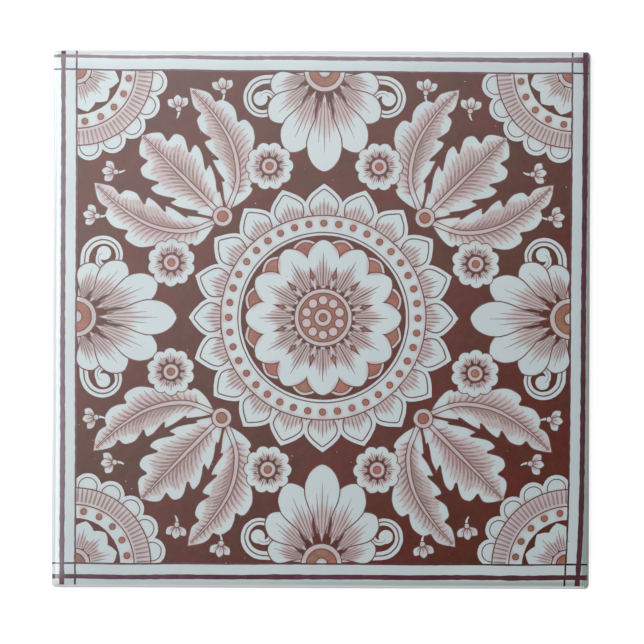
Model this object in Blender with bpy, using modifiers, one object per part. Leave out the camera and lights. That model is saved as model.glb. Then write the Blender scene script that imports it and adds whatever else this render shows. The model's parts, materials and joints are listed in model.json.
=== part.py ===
"""A six-inch transfer-printed wall tile, pressed from clay dust and fired as one piece, lying face up.

The tile is one solid: a square slab whose glazed face rolls over softly at its edges, with a small
chamfer round the back. The back is moulded with the key that the mortar grips: square wells with
drafted sides and rounded corners, between raised ribs and inside a plain rim.

Origin: the centre of the back, on the crossing of the two middle ribs. +Z points out of the face.
All sizes are in metres.
"""

import math

import bmesh
import bpy
from mathutils import Vector

# The slab
TILE_SIDE = 0.1524
TILE_THICKNESS = 0.0080
FACE_EDGE_RADIUS = 0.0009  # the glaze rolling over the edge of the face
FACE_CORNER_RADIUS = 0.0004  # the corner of the flat of the face, inside that roll
BACK_CHAMFER = 0.0005

# The key on the back
WELLS_PER_SIDE = 6
RIM_WIDTH = 0.0085
RIB_WIDTH = 0.0038
WELL_DEPTH = 0.0012
WELL_DRAFT = math.radians(25.0)  # how far a well's sides lean out from upright
WELL_CORNER_RADIUS = 0.0024  # of a well's mouth
WELL_FLOOR_FILLET = 0.0004

# How finely round edges are drawn
ROLL_SEGMENTS = 4
CORNER_SEGMENTS = 5
WELL_CORNER_SEGMENTS = 4
FLOOR_FILLET_SEGMENTS = 2

CUTTER_OVERRUN = 0.0006  # how far a well's cutter runs past the back
SHARP_EDGE = math.radians(32.0)

# The glazed earthenware, seen without its print
GLAZED_WHITE = (0.58, 0.66, 0.67, 1.0)
GLAZE_ROUGHNESS = 0.12

# Worked out from the sizes above
CORNER_RADIUS = FACE_CORNER_RADIUS + FACE_EDGE_RADIUS
KEY_SIDE = TILE_SIDE - 2 * RIM_WIDTH
WELL_MOUTH = (KEY_SIDE - (WELLS_PER_SIDE - 1) * RIB_WIDTH) / WELLS_PER_SIDE
WELL_PITCH = WELL_MOUTH + RIB_WIDTH


def clear_scene():
    """Removes every object that the file opened with."""
    for obj in list(bpy.data.objects):
        bpy.data.objects.remove(obj, do_unlink=True)


def new_collection(name):
    """Makes a collection and links it to the scene."""
    collection = bpy.data.collections.new(name)
    bpy.context.scene.collection.children.link(collection)
    return collection


def object_from_bmesh(name, shape, collection):
    """Turns a bmesh into an object of the collection, and frees the bmesh."""
    mesh = bpy.data.meshes.new(name)
    shape.to_mesh(mesh)
    shape.free()
    obj = bpy.data.objects.new(name, mesh)
    collection.objects.link(obj)
    return obj


def block(low_half, high_half, low_z, high_z):
    """A block between two heights whose half-width goes from low_half at its foot to high_half."""
    shape = bmesh.new()
    bmesh.ops.create_cube(shape, size=2.0)
    for vert in shape.verts:
        at_top = vert.co.z > 0
        half = high_half if at_top else low_half
        vert.co = Vector((vert.co.x * half, vert.co.y * half, high_z if at_top else low_z))
    return shape


def upright_edges(shape, low_z, high_z):
    """The edges that run from the foot of a block to its top."""
    middle = (low_z + high_z) / 2
    return [e for e in shape.edges if (e.verts[0].co.z - middle) * (e.verts[1].co.z - middle) < 0]


def edges_at_height(shape, z):
    """The edges that lie round a block at one height."""
    near = 1e-6
    return [e for e in shape.edges if all(abs(v.co.z - z) < near for v in e.verts)]


def round_edges(shape, edges, radius, segments):
    """Rounds the edges, or chamfers them where segments is 1."""
    bmesh.ops.bevel(
        shape,
        geom=edges,
        offset=radius,
        offset_type="OFFSET",
        segments=segments,
        profile=0.5,
        affect="EDGES",
        clamp_overlap=True,
    )


def slab(collection):
    """The tile before its back is keyed: rolled at the face, chamfered at the back."""
    half = TILE_SIDE / 2
    shape = block(half, half, 0.0, TILE_THICKNESS)
    round_edges(shape, upright_edges(shape, 0.0, TILE_THICKNESS), CORNER_RADIUS, CORNER_SEGMENTS)
    round_edges(shape, edges_at_height(shape, TILE_THICKNESS), FACE_EDGE_RADIUS, ROLL_SEGMENTS)
    round_edges(shape, edges_at_height(shape, 0.0), BACK_CHAMFER, 1)
    return object_from_bmesh("tile", shape, collection)


def well_cutter(collection):
    """Cuts the grid of wells: one drafted block with rounded corners, repeated by two arrays."""
    slope = math.tan(WELL_DRAFT)
    foot_half = WELL_MOUTH / 2 + CUTTER_OVERRUN * slope
    floor_half = WELL_MOUTH / 2 - WELL_DEPTH * slope
    shape = block(foot_half, floor_half, -CUTTER_OVERRUN, WELL_DEPTH)
    uprights = upright_edges(shape, -CUTTER_OVERRUN, WELL_DEPTH)
    round_edges(shape, uprights, WELL_CORNER_RADIUS, WELL_CORNER_SEGMENTS)
    round_edges(shape, edges_at_height(shape, WELL_DEPTH), WELL_FLOOR_FILLET, FLOOR_FILLET_SEGMENTS)
    first_well = (WELL_MOUTH - KEY_SIDE) / 2
    bmesh.ops.translate(shape, verts=shape.verts, vec=(first_well, first_well, 0.0))
    cutter = object_from_bmesh("well_cutter", shape, collection)
    for name, step in (("columns", (WELL_PITCH, 0.0, 0.0)), ("rows", (0.0, WELL_PITCH, 0.0))):
        array = cutter.modifiers.new(name, "ARRAY")
        array.fit_type = "FIXED_COUNT"
        array.count = WELLS_PER_SIDE
        array.use_relative_offset = False
        array.use_constant_offset = True
        array.constant_offset_displace = step
        array.use_merge_vertices = False
    cutter.hide_render = True
    cutter.display_type = "WIRE"
    return cutter


def glazed_earthenware():
    """The bluish white glaze of the face and the body under it."""
    material = bpy.data.materials.new("glazed_earthenware")
    material.use_nodes = True
    principled = material.node_tree.nodes["Principled BSDF"]
    principled.inputs["Base Color"].default_value = GLAZED_WHITE
    principled.inputs["Roughness"].default_value = GLAZE_ROUGHNESS
    principled.inputs["Metallic"].default_value = 0.0
    return material


def tile(parts, cutters):
    """The finished tile: the slab with its back keyed by the wells."""
    body = slab(parts)
    key = body.modifiers.new("key", "BOOLEAN")
    key.operation = "DIFFERENCE"
    key.solver = "EXACT"
    key.object = well_cutter(cutters)
    body.data.materials.append(glazed_earthenware())
    body.data.shade_smooth()
    body.data.set_sharp_from_angle(angle=SHARP_EDGE)
    return body


def main():
    clear_scene()
    tile(new_collection("transferware_tile"), new_collection("cutters"))


main()
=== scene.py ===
"""The looks of a six-inch transfer-printed wall tile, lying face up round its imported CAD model.

The face is drawn as the engraver drew it: closed outlines are laid over each other in painter's order,
cut into one flat arrangement, and each ink's share of that becomes a thin film on the white glaze.
Drawing sizes are in millimetres, and everything that leaves the drawing is in metres.
"""

import json
import logging
import math
from dataclasses import dataclass, field
from enum import Enum

import bmesh
import bpy
import numpy as np
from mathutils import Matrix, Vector
from mathutils.bvhtree import BVHTree
from mathutils.geometry import delaunay_2d_cdt

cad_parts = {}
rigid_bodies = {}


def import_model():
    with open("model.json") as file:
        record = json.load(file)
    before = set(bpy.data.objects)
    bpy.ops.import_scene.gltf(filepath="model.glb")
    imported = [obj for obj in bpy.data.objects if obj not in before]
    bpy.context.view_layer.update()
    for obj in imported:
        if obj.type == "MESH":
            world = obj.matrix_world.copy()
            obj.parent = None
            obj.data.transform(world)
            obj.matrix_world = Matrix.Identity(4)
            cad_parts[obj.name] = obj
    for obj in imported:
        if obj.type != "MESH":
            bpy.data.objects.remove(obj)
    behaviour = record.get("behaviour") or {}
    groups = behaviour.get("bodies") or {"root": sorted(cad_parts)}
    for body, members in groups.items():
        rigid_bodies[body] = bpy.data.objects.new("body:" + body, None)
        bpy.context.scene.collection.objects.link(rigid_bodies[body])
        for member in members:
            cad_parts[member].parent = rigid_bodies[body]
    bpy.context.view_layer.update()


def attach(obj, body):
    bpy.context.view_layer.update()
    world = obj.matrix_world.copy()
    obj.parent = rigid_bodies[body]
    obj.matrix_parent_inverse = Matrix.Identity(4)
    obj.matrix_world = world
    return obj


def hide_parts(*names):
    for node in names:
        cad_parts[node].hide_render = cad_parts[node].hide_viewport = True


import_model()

log = logging.getLogger("transferware_tile")

MM = 0.001
TAU = 2 * math.pi
ROOT_BODY = "root"
TILE_NODE = "tile"
INK_SHARE = "ink_share"
FIELD_HALF = 70.0  # of the printed field, on the engraved plate

Outline = np.ndarray  # (n, 2) points in millimetres, the last joined to the first
Outlines = list[Outline]
Pair = tuple[float, float]
Points = tuple[Pair, ...]
Sizes = tuple[float, ...]
Colour = tuple[float, float, float]
Mesh = bpy.types.Mesh
Material = bpy.types.Material
Tree = bpy.types.NodeTree
Socket = bpy.types.NodeSocket


class Ink(Enum):
    """What a stretch of the face shows: the bare glaze, or one of the inks under it."""

    BARE = "bare_glaze"
    GROUND = "ground_ink"
    LINE = "line_ink"
    SHADE = "shade_ink"
    FAINT = "faint_ink"
    BLUSH = "blush_ink"
    TINT = "tint_ink"
    RULE = "rule_ink"
    TICK = "tick_ink"


# Outlines


def disc(radius: float, centre: Pair = (0.0, 0.0)) -> Outline:
    """A circle, with more points the larger it is."""
    angles = np.linspace(0.0, TAU, int(12 + 2.4 * radius), endpoint=False)
    return np.column_stack((np.cos(angles), np.sin(angles))) * radius + centre


def polar(radius: float, angle: float) -> Pair:
    """The point at a radius and an angle from the middle."""
    return radius * math.cos(angle), radius * math.sin(angle)


def petal(length: float, half_width: float, belly: float, neck: float = 0.7, tip: float = 0.7) -> Outline:
    """A petal, club or lobe that grows from the origin along +Y.

    Args:
        length: from its root to its tip.
        half_width: at its widest.
        belly: where it is widest, as a share of its length.
        neck: how it narrows to its root: 0.5 is round, 1 straight, more is waisted.
        tip: how it narrows to its tip, likewise: 0.5 is round, 1 pointed, more is ogee.

    Returns:
        The outline, anticlockwise.
    """
    count = int(6 + 1.3 * length)
    along = 0.5 - 0.5 * np.cos(np.linspace(0.0, math.pi, count))
    swell = np.sin(math.pi * along ** (math.log(0.5) / math.log(belly))).clip(0.0, 1.0)
    half = (half_width * swell ** np.where(along < belly, neck, tip)).clip(0.08)
    right = np.column_stack((half, along * length))
    return np.vstack((right, right[::-1] * (-1, 1)))


def rectangle(low: Pair, high: Pair, step: float = 1.5) -> Outline:
    """Draws an upright rectangle with points along its sides, so that it bends where it is laid unevenly.

    Args:
        low: its lower left corner.
        high: its upper right corner.
        step: about how far apart the points are.

    Returns:
        The outline, anticlockwise.
    """
    corners = np.array((low, (high[0], low[1]), high, (low[0], high[1]), low))
    sides = []
    for start, end in zip(corners, corners[1:]):
        count = int(np.linalg.norm(end - start) / step) + 1
        sides.append(start + (end - start) * np.linspace(0.0, 1.0, count, endpoint=False)[:, None])
    return np.vstack(sides)


def curve_through(points: Points, step: float = 1.0) -> np.ndarray:
    """Draws a smooth open curve.

    Args:
        points: what it passes through.
        step: about how far apart its own points are.

    Returns:
        (n, 2) points.
    """
    known = np.array(points, float)
    slopes = np.gradient(known, axis=0)
    out = []
    for start, end, leave, arrive in zip(known, known[1:], slopes, slopes[1:]):
        count = max(2, int(np.linalg.norm(end - start) / step))
        t = np.linspace(0.0, 1.0, count, endpoint=False)[:, None]
        out.append(
            (2 * t**3 - 3 * t**2 + 1) * start
            + (t**3 - 2 * t**2 + t) * leave
            + (3 * t**2 - 2 * t**3) * end
            + (t**3 - t**2) * arrive
        )
    return np.vstack((*out, known[-1:]))


def spiral(centre: Pair, radii: Pair, angles: Pair) -> np.ndarray:
    """Draws an open curve that turns round a centre.

    Args:
        centre: the centre.
        radii: the radius at its start and at its end.
        angles: the angle at its start and at its end.

    Returns:
        (n, 2) points.
    """
    count = int(6 + 9 * abs(angles[1] - angles[0]))
    radius = np.linspace(*radii, count)
    angle = np.linspace(*angles, count)
    return np.column_stack((np.cos(angle), np.sin(angle))) * radius[:, None] + centre


def sideways(path: np.ndarray) -> np.ndarray:
    """The unit vector to the left of an open curve, at each of its points."""
    along = np.gradient(path, axis=0)
    return np.column_stack((-along[:, 1], along[:, 0])) / np.linalg.norm(along, axis=1)[:, None]


def share_along(path: np.ndarray) -> np.ndarray:
    """How far along an open curve each of its points lies, from 0 to 1."""
    steps = np.linalg.norm(np.diff(path, axis=0), axis=1)
    return np.concatenate(([0.0], np.cumsum(steps))) / steps.sum()


def stroke(path: np.ndarray, *widths: float) -> Outline:
    """Draws a line along an open curve.

    Args:
        path: the curve.
        widths: how wide the line is, at even steps from its start to its end.

    Returns:
        The line's outline.
    """
    width = np.interp(share_along(path), np.linspace(0.0, 1.0, len(widths)), widths)[:, None]
    left = sideways(path) * width / 2
    return np.vstack((path - left, (path + left)[::-1]))


def closed_shortly(outline: Outline, length: float = 0.002) -> Outline:
    """The outline with a last edge too short for others to cross, as its filling starts from that edge."""
    back = outline[-1] - outline[0]
    return np.vstack((outline, outline[0] + back * length / np.linalg.norm(back)))


def bar(start: Pair, end: Pair, *widths: float) -> Outline:
    """A straight stroke."""
    return stroke(np.linspace(start, end, max(3, len(widths))), *widths)


def turned(outlines: Outlines, angle: float) -> Outlines:
    """The outlines turned about the origin."""
    turn = np.array(((math.cos(angle), math.sin(angle)), (-math.sin(angle), math.cos(angle))))
    return [outline @ turn for outline in outlines]


def moved(outlines: Outlines, x: float, y: float) -> Outlines:
    """The outlines moved."""
    return [outline + (x, y) for outline in outlines]


def all_round(quarter: np.ndarray) -> Outline:
    """The outline that a quarter of it makes with its three turned copies."""
    return np.vstack([turned([quarter], number * math.pi / 2)[0] for number in range(4)])


def both_sides(outlines: Outlines) -> Outlines:
    """The outlines with their mirror images across the Y axis."""
    return outlines + [outline * (-1, 1) for outline in outlines]


def both_sides_of_diagonal(outlines: Outlines) -> Outlines:
    """The outlines with their mirror images across the line where x is y."""
    return outlines + [outline[:, ::-1] for outline in outlines]


def anticlockwise(outline: Outline) -> Outline:
    """The outline in the order in which the arrangement fills it."""
    x, y = outline.T
    return outline if np.dot(x, np.roll(y, -1)) > np.dot(y, np.roll(x, -1)) else outline[::-1]


MITRE_LIMIT = 0.6  # keeps an inset from running far into a sharp corner
INSET_CLEARANCE = 0.93  # how near its outline an inset may come, as a share of its distance
SHORTEST_EDGE = 0.1  # of an inset
PARALLEL = 1e-9
FAR = 1e3
MERGE_DISTANCE = 1e-5  # between points that the arrangement makes one


def inset(outline: Outline, distance: float) -> Outline:
    """Moves an outline inwards, and cuts it off where it is too narrow for that.

    Args:
        outline: the outline.
        distance: how far it moves, all round.

    Returns:
        The smaller outline.
    """
    outline = anticlockwise(outline)
    ahead = np.roll(outline, -1, axis=0) - outline
    length = np.linalg.norm(ahead, axis=1)[:, None]
    along = ahead / length
    both = along + np.roll(along, 1, axis=0)
    inwards = np.column_stack((-both[:, 1], both[:, 0]))
    inwards /= np.linalg.norm(inwards, axis=1).clip(MITRE_LIMIT)[:, None]
    inner = outline + inwards * distance
    to_inner = inner[:, None] - outline
    reach = (to_inner * along).sum(axis=2, keepdims=True).clip(0.0, length)
    gap = np.linalg.norm(to_inner - reach * along, axis=2)
    leftwards = along[:, 0] * to_inner[:, :, 1] - along[:, 1] * to_inner[:, :, 0]
    nearest = gap.argmin(axis=1)
    number = np.arange(len(inner))
    inner = inner[(gap[number, nearest] > INSET_CLEARANCE * distance) & (leftwards[number, nearest] > 0)]
    step = np.linalg.norm(inner - np.roll(inner, 1, axis=0), axis=1)
    return inner[step > SHORTEST_EDGE]


def room(outline: Outline, starts: np.ndarray, headings: np.ndarray) -> np.ndarray:
    """How far it is from points inside an outline to its edge.

    Args:
        outline: the outline.
        starts: (n, 2) points.
        headings: (n, 2) unit vectors.

    Returns:
        (n,) distances.
    """
    edges = np.roll(outline, -1, axis=0) - outline
    to_edge = outline - starts[:, None]
    across = headings[:, :1] * edges[:, 1] - headings[:, 1:] * edges[:, 0]
    across = np.where(np.abs(across) < PARALLEL, PARALLEL, across)
    ahead = (to_edge[:, :, 0] * edges[:, 1] - to_edge[:, :, 1] * edges[:, 0]) / across
    share = (to_edge[:, :, 0] * headings[:, 1:] - to_edge[:, :, 1] * headings[:, :1]) / across
    hit = (share >= 0.0) & (share <= 1.0) & (ahead > 0.0)
    return np.where(hit, ahead, FAR).min(axis=1)


def numbered(outlines: Outlines) -> list[list[int]]:
    """The outlines as faces, by the numbers of their points in one row of them all."""
    ends = np.cumsum([len(outline) for outline in outlines])
    return [list(range(end - len(outline), end)) for end, outline in zip(ends, outlines)]


def cut_apart(outlines: Outlines, creases: list[np.ndarray]) -> tuple[np.ndarray, np.ndarray, list]:
    """Cuts overlapping outlines into triangles that keep to all of their edges.

    Args:
        outlines: the outlines, in millimetres.
        creases: straight lines that the triangles keep to as well, as pairs of ends.

    Returns:
        The points, the triangles, and the numbers of the outlines that each triangle lies in.
    """
    first = sum(len(outline) for outline in outlines)
    edges = [(start, start + 1) for start in range(first, first + 2 * len(creases), 2)]
    corners = [Vector(point) for point in np.vstack((*outlines, *creases))]
    made = delaunay_2d_cdt(corners, edges, numbered(outlines), 0, MERGE_DISTANCE)
    points, _, triangles, _, _, owners = made
    return np.array(points), np.array(triangles), owners


# Node trees


def feed(tree: Tree, node: bpy.types.Node, inputs: dict) -> None:
    """Sets inputs of a node.

    Args:
        tree: the node's tree.
        node: the node.
        inputs: by name or number, another node's output to link, a colour, or a plain value.
    """
    for key, value in inputs.items():
        socket = node.inputs[key]
        if isinstance(value, Socket):
            tree.links.new(value, socket)
        elif socket.type == "RGBA":
            socket.default_value = (*value, 1.0)
        else:
            socket.default_value = value


def add_node(tree: Tree, kind: str, inputs: dict | None = None, **settings: object) -> bpy.types.Node:
    """Adds a node to a tree.

    Args:
        tree: the shader or geometry tree.
        kind: the node's Blender type.
        inputs: what feeds each input, by the input's name or number.
        settings: the node's own settings.

    Returns:
        The node.
    """
    node = tree.nodes.new(kind)
    for name, value in settings.items():
        setattr(node, name, value)
    feed(tree, node, inputs or {})
    return node


def calculate(tree: Tree, operation: str, *values: object) -> Socket:
    """Adds a Math node and returns its output."""
    return add_node(tree, "ShaderNodeMath", dict(enumerate(values)), operation=operation).outputs[0]


def product(tree: Tree, *values: object) -> Socket:
    """Adds a Math node that multiplies two values and returns its output."""
    return calculate(tree, "MULTIPLY", *values)


def mesh_of(outlines: Outlines) -> Mesh:
    """Makes a flat mesh.

    Args:
        outlines: what becomes its faces.

    Returns:
        The mesh, with one face for each outline.
    """
    points = np.vstack(outlines)
    mesh = bpy.data.meshes.new("outlines")
    mesh.from_pydata(np.column_stack((points, np.zeros(len(points)))).tolist(), [], numbered(outlines))
    return mesh


def places_of(mesh: Mesh) -> np.ndarray:
    """The (n, 3) places of a mesh's points."""
    places = np.zeros(len(mesh.vertices) * 3)
    mesh.vertices.foreach_get("co", places)
    return places.reshape(-1, 3)


def set_attribute(mesh: Mesh, name: str, values: np.ndarray) -> None:
    """Gives each of a mesh's points a number, under a name that node trees can read."""
    mesh.attributes.new(name, "FLOAT", "POINT").data.foreach_set("value", values.astype(np.float32))


def outlines_of(mesh: Mesh) -> Outlines:
    """Takes a flat mesh apart.

    Args:
        mesh: the mesh. It is removed.

    Returns:
        Its faces as outlines.
    """
    points = places_of(mesh)[:, :2]
    outlines = [points[list(face.vertices)] for face in mesh.polygons]
    bpy.data.meshes.remove(mesh)
    return outlines


class GeometryTool:
    """A geometry-node tree with named inputs, which is built once and run on one mesh after another."""

    def __init__(self, name: str, **inputs: str) -> None:
        """Starts the tree. Its last input is the finish of what it makes.

        Args:
            name: the tree's name.
            inputs: the kind of each other input besides the geometry, by its name.
        """
        self.tree = bpy.data.node_groups.new(name, "GeometryNodeTree")
        self.tree.interface.new_socket("Geometry", in_out="OUTPUT", socket_type="NodeSocketGeometry")
        self.identifiers = {}
        for label, kind in {"Geometry": "Geometry", **inputs, "Finish": "Material"}.items():
            made = self.tree.interface.new_socket(label, in_out="INPUT", socket_type=f"NodeSocket{kind}")
            self.identifiers[label] = made.identifier
        entry = self.tree.nodes.new("NodeGroupInput")
        self.given = {label: entry.outputs[label] for label in self.identifiers}

    def stamped(self, points: Socket, stamp: Socket, turn: Socket, size: object = (1.0, 1.0, 1.0)) -> Socket:
        """Adds copies of a stamp to the tree.

        Args:
            points: where they stand.
            stamp: what is repeated.
            turn: the angle of each about +Z.
            size: the scale of each.

        Returns:
            The copies, as instances.
        """
        facing = add_node(self.tree, "ShaderNodeCombineXYZ", {"Z": turn}).outputs[0]
        rotation = add_node(self.tree, "FunctionNodeEulerToRotation", {"Euler": facing}).outputs[0]
        inputs = {"Points": points, "Instance": stamp, "Rotation": rotation, "Scale": size}
        return add_node(self.tree, "GeometryNodeInstanceOnPoints", inputs).outputs[0]

    def end(self, geometry: Socket) -> None:
        """Ends the tree: its instances become real and take their finish.

        Args:
            geometry: what the tree has made.
        """
        real = add_node(self.tree, "GeometryNodeRealizeInstances", {"Geometry": geometry}).outputs[0]
        inputs = {"Geometry": real, "Material": self.given["Finish"]}
        dressed = add_node(self.tree, "GeometryNodeSetMaterial", inputs).outputs[0]
        add_node(self.tree, "NodeGroupOutput", {"Geometry": dressed})

    def run(self, mesh: Mesh, finish: Material, sizes: dict[str, object]) -> Mesh:
        """Runs the tree on a mesh.

        Args:
            mesh: the geometry that goes in. It is removed.
            finish: the material of what comes out.
            sizes: the tree's other inputs, by name.

        Returns:
            The result as a plain mesh.
        """
        worker = bpy.data.objects.new("worker", mesh)
        bpy.context.scene.collection.objects.link(worker)
        modifier = worker.modifiers.new("nodes", "NODES")
        modifier.node_group = self.tree
        for label, value in {**sizes, "Finish": finish}.items():
            modifier[self.identifiers[label]] = value
        graph = bpy.context.evaluated_depsgraph_get()
        result = bpy.data.meshes.new_from_object(worker.evaluated_get(graph))
        worker.modifiers.remove(modifier)
        bpy.data.objects.remove(worker)
        bpy.data.meshes.remove(mesh)
        return result

    def strew(self, mesh: Mesh, stamp: Outline, finish: Material, sizes: dict[str, object]) -> Outlines:
        """Runs the tree on a mesh, with a flat object as its input named Stamp.

        Args:
            mesh: the geometry that goes in. It is removed.
            stamp: the outline of the flat object.
            finish: the material of what comes out.
            sizes: the tree's other inputs, by name.

        Returns:
            The outlines of the stamp's copies.
        """
        shape = mesh_of([stamp])
        holder = bpy.data.objects.new("stamp", shape)
        bpy.context.scene.collection.objects.link(holder)
        outlines = outlines_of(self.run(mesh, finish, {**sizes, "Stamp": holder}))
        bpy.data.objects.remove(holder)
        bpy.data.meshes.remove(shape)
        return outlines


@dataclass(frozen=True)
class Ring:
    """Where a stamp is repeated: on a circle round the origin, each copy with its +Y pointing outwards."""

    count: int
    radius: float = 0.0
    first: float = 0.0  # the angle of the first copy from +Y, anticlockwise
    sweep: float = TAU  # the angle that the copies share


class TurnedCopies(GeometryTool):
    """Copies of a stamp on a circle, each with its +Y pointing outwards."""

    def __init__(self) -> None:
        """Builds the geometry-node tree."""
        super().__init__("turned_copies", Count="Int", Radius="Float", First="Float", Sweep="Float")
        tree, given = self.tree, self.given
        number = tree.nodes.new("GeometryNodeInputIndex").outputs[0]
        step = calculate(tree, "DIVIDE", given["Sweep"], given["Count"])
        turn = calculate(tree, "ADD", product(tree, step, number), given["First"])
        across = product(tree, product(tree, calculate(tree, "SINE", turn), given["Radius"]), -1.0)
        up = product(tree, calculate(tree, "COSINE", turn), given["Radius"])
        place = add_node(tree, "ShaderNodeCombineXYZ", {"X": across, "Y": up}).outputs[0]
        inputs = {"Count": given["Count"], "Position": place}
        points = add_node(tree, "GeometryNodePoints", inputs).outputs[0]
        self.end(self.stamped(points, given["Geometry"], turn))

    def __call__(self, stamp: Outlines, ring: Ring, ink: Material) -> Outlines:
        """Repeats a stamp.

        Args:
            stamp: outlines drawn round the origin.
            ring: where its copies stand.
            ink: the material that the copies show.

        Returns:
            The outlines of all the copies.
        """
        angles = {"First": float(ring.first), "Sweep": float(ring.sweep)}
        return outlines_of(
            self.run(mesh_of(stamp), ink, {"Count": ring.count, "Radius": float(ring.radius), **angles})
        )


class Veins(GeometryTool):
    """Engraved strokes that leave a midrib at even steps and lean towards its tip."""

    REACH = "reach"  # the path's attribute that says how long a stroke is there
    UNEVENNESS = 0.22  # how much shorter than its reach a stroke may be
    SEED = 1
    HALF_WIDTHS = (0.3, 0.5, 0.52, 0.5, 0.4, 0.16)  # of a stroke from its root on, for a thickness of 1
    BOW = 0.4  # how strongly a stroke bends

    def __init__(self) -> None:
        """Builds the geometry-node tree."""
        chance = {"Unevenness": "Float", "Seed": "Int"}
        super().__init__("veins", Count="Int", Lean="Float", Thickness="Float", **chance, Stamp="Object")
        tree, given = self.tree, self.given
        path = add_node(tree, "GeometryNodeMeshToCurve", {"Mesh": given["Geometry"]}).outputs[0]
        inputs = {"Curve": path, "Count": given["Count"]}
        steps = add_node(tree, "GeometryNodeResampleCurve", inputs).outputs[0]
        along = tree.nodes.new("GeometryNodeInputTangent").outputs[0]
        x, y, _ = add_node(tree, "ShaderNodeSeparateXYZ", {0: along}).outputs
        heading = calculate(tree, "ARCTAN2", y, x)
        turn = calculate(tree, "SUBTRACT", calculate(tree, "ADD", heading, given["Lean"]), math.pi / 2)
        reach = add_node(tree, "GeometryNodeInputNamedAttribute", {"Name": self.REACH}, data_type="FLOAT")
        least = calculate(tree, "SUBTRACT", 1.0, given["Unevenness"])
        inputs = {2: least, 3: 1.0, "Seed": given["Seed"]}
        share = add_node(tree, "FunctionNodeRandomValue", inputs, data_type="FLOAT").outputs[1]
        length = product(tree, reach.outputs[0], share)
        inputs = {"X": given["Thickness"], "Y": length, "Z": 1.0}
        size = add_node(tree, "ShaderNodeCombineXYZ", inputs).outputs[0]
        shape = add_node(tree, "GeometryNodeObjectInfo", {"Object": given["Stamp"]}).outputs["Geometry"]
        self.end(self.stamped(steps, shape, turn, size))

    def __call__(
        self,
        path: np.ndarray,
        reach: np.ndarray,
        count: int,
        lean: float,
        thickness: float,
        ink: Material,
        part: float = 1.0,
    ) -> Outlines:
        """Draws the strokes along one side of a midrib.

        Args:
            path: the midrib, an open curve.
            reach: how long a stroke is at each point of the path.
            count: how many strokes there are.
            lean: the angle from the midrib to a stroke, positive to its left.
            thickness: of a stroke at its thickest.
            ink: the material that the strokes show.
            part: how much of each stroke is drawn, from its root.

        Returns:
            The strokes' outlines.
        """
        mesh = bpy.data.meshes.new("midrib")
        joined = [(start, start + 1) for start in range(len(path) - 1)]
        mesh.from_pydata(np.column_stack((path, np.zeros(len(path)))).tolist(), joined, [])
        set_attribute(mesh, self.REACH, reach)
        half = np.array(self.HALF_WIDTHS)
        share = np.linspace(0.0, part, len(half))
        side = math.copysign(1.0, lean)
        bow = self.BOW * float(reach.max()) * share * (1.0 - share) * side / thickness
        edges = (np.column_stack((bow + half, share)), np.column_stack((bow - half, share))[::-1])
        sizes = {"Count": count, "Lean": float(lean), "Thickness": float(thickness)}
        chance = {"Unevenness": self.UNEVENNESS, "Seed": self.SEED}
        return self.strew(mesh, np.vstack(edges), ink, {**sizes, **chance})


class Specks(GeometryTool):
    """Small flaws strewn over a flat mesh: pinholes in the ink, or stray dots of it."""

    RADII = (1.0, 0.8, 1.15, 0.9, 0.75, 1.1, 0.85, 0.95)  # at even turns round a speck whose radius is 1
    RARITY = 3.0  # how much rarer large specks are than small ones
    TURNS = 40.0  # spreads their directions

    def __init__(self) -> None:
        """Builds the geometry-node tree."""
        radii = {"Smallest": "Float", "Largest": "Float"}
        super().__init__("specks", Density="Float", **radii, Seed="Int", Stamp="Object")
        tree, given = self.tree, self.given
        inputs = {"Mesh": given["Geometry"], "Density": given["Density"], "Seed": given["Seed"]}
        kind = "GeometryNodeDistributePointsOnFaces"
        places = add_node(tree, kind, inputs, distribute_method="RANDOM").outputs["Points"]
        inputs = {2: 0.0, 3: 1.0, "Seed": given["Seed"]}
        chance = add_node(tree, "FunctionNodeRandomValue", inputs, data_type="FLOAT").outputs[1]
        rare = calculate(tree, "POWER", chance, self.RARITY)
        range_of_sizes = calculate(tree, "SUBTRACT", given["Largest"], given["Smallest"])
        size = calculate(tree, "MULTIPLY_ADD", rare, range_of_sizes, given["Smallest"])
        scale = add_node(tree, "ShaderNodeCombineXYZ", {"X": size, "Y": size, "Z": 1.0}).outputs[0]
        turn = product(tree, chance, self.TURNS)
        stamp = add_node(tree, "GeometryNodeObjectInfo", {"Object": given["Stamp"]}).outputs["Geometry"]
        self.end(self.stamped(places, stamp, turn, scale))

    def __call__(self, area: Outline, density: float, radii: Pair, seed: int, ink: Material) -> Outlines:
        """Strews the specks.

        Args:
            area: where they lie.
            density: how many there are to a square millimetre.
            radii: the smallest and the largest radius. Small ones are the most common.
            seed: gives them other places.
            ink: the material that they show.

        Returns:
            The specks' outlines.
        """
        turn = np.linspace(0.0, TAU, len(self.RADII), endpoint=False)
        stamp = np.column_stack((np.cos(turn), np.sin(turn))) * np.array(self.RADII)[:, None]
        sizes = {"Density": density, "Smallest": radii[0], "Largest": radii[1], "Seed": seed}
        return self.strew(mesh_of([area]), stamp, ink, sizes)


def dressed_piece(name: str, mesh: Mesh) -> bpy.types.Object:
    """Makes a piece of the tile, which rides on the tile's one body.

    Args:
        name: the piece's name.
        mesh: its finished mesh.

    Returns:
        The piece.
    """
    piece = bpy.data.objects.new(name, mesh)
    bpy.context.scene.collection.objects.link(piece)
    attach(piece, ROOT_BODY)
    return piece


# The sheet


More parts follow.
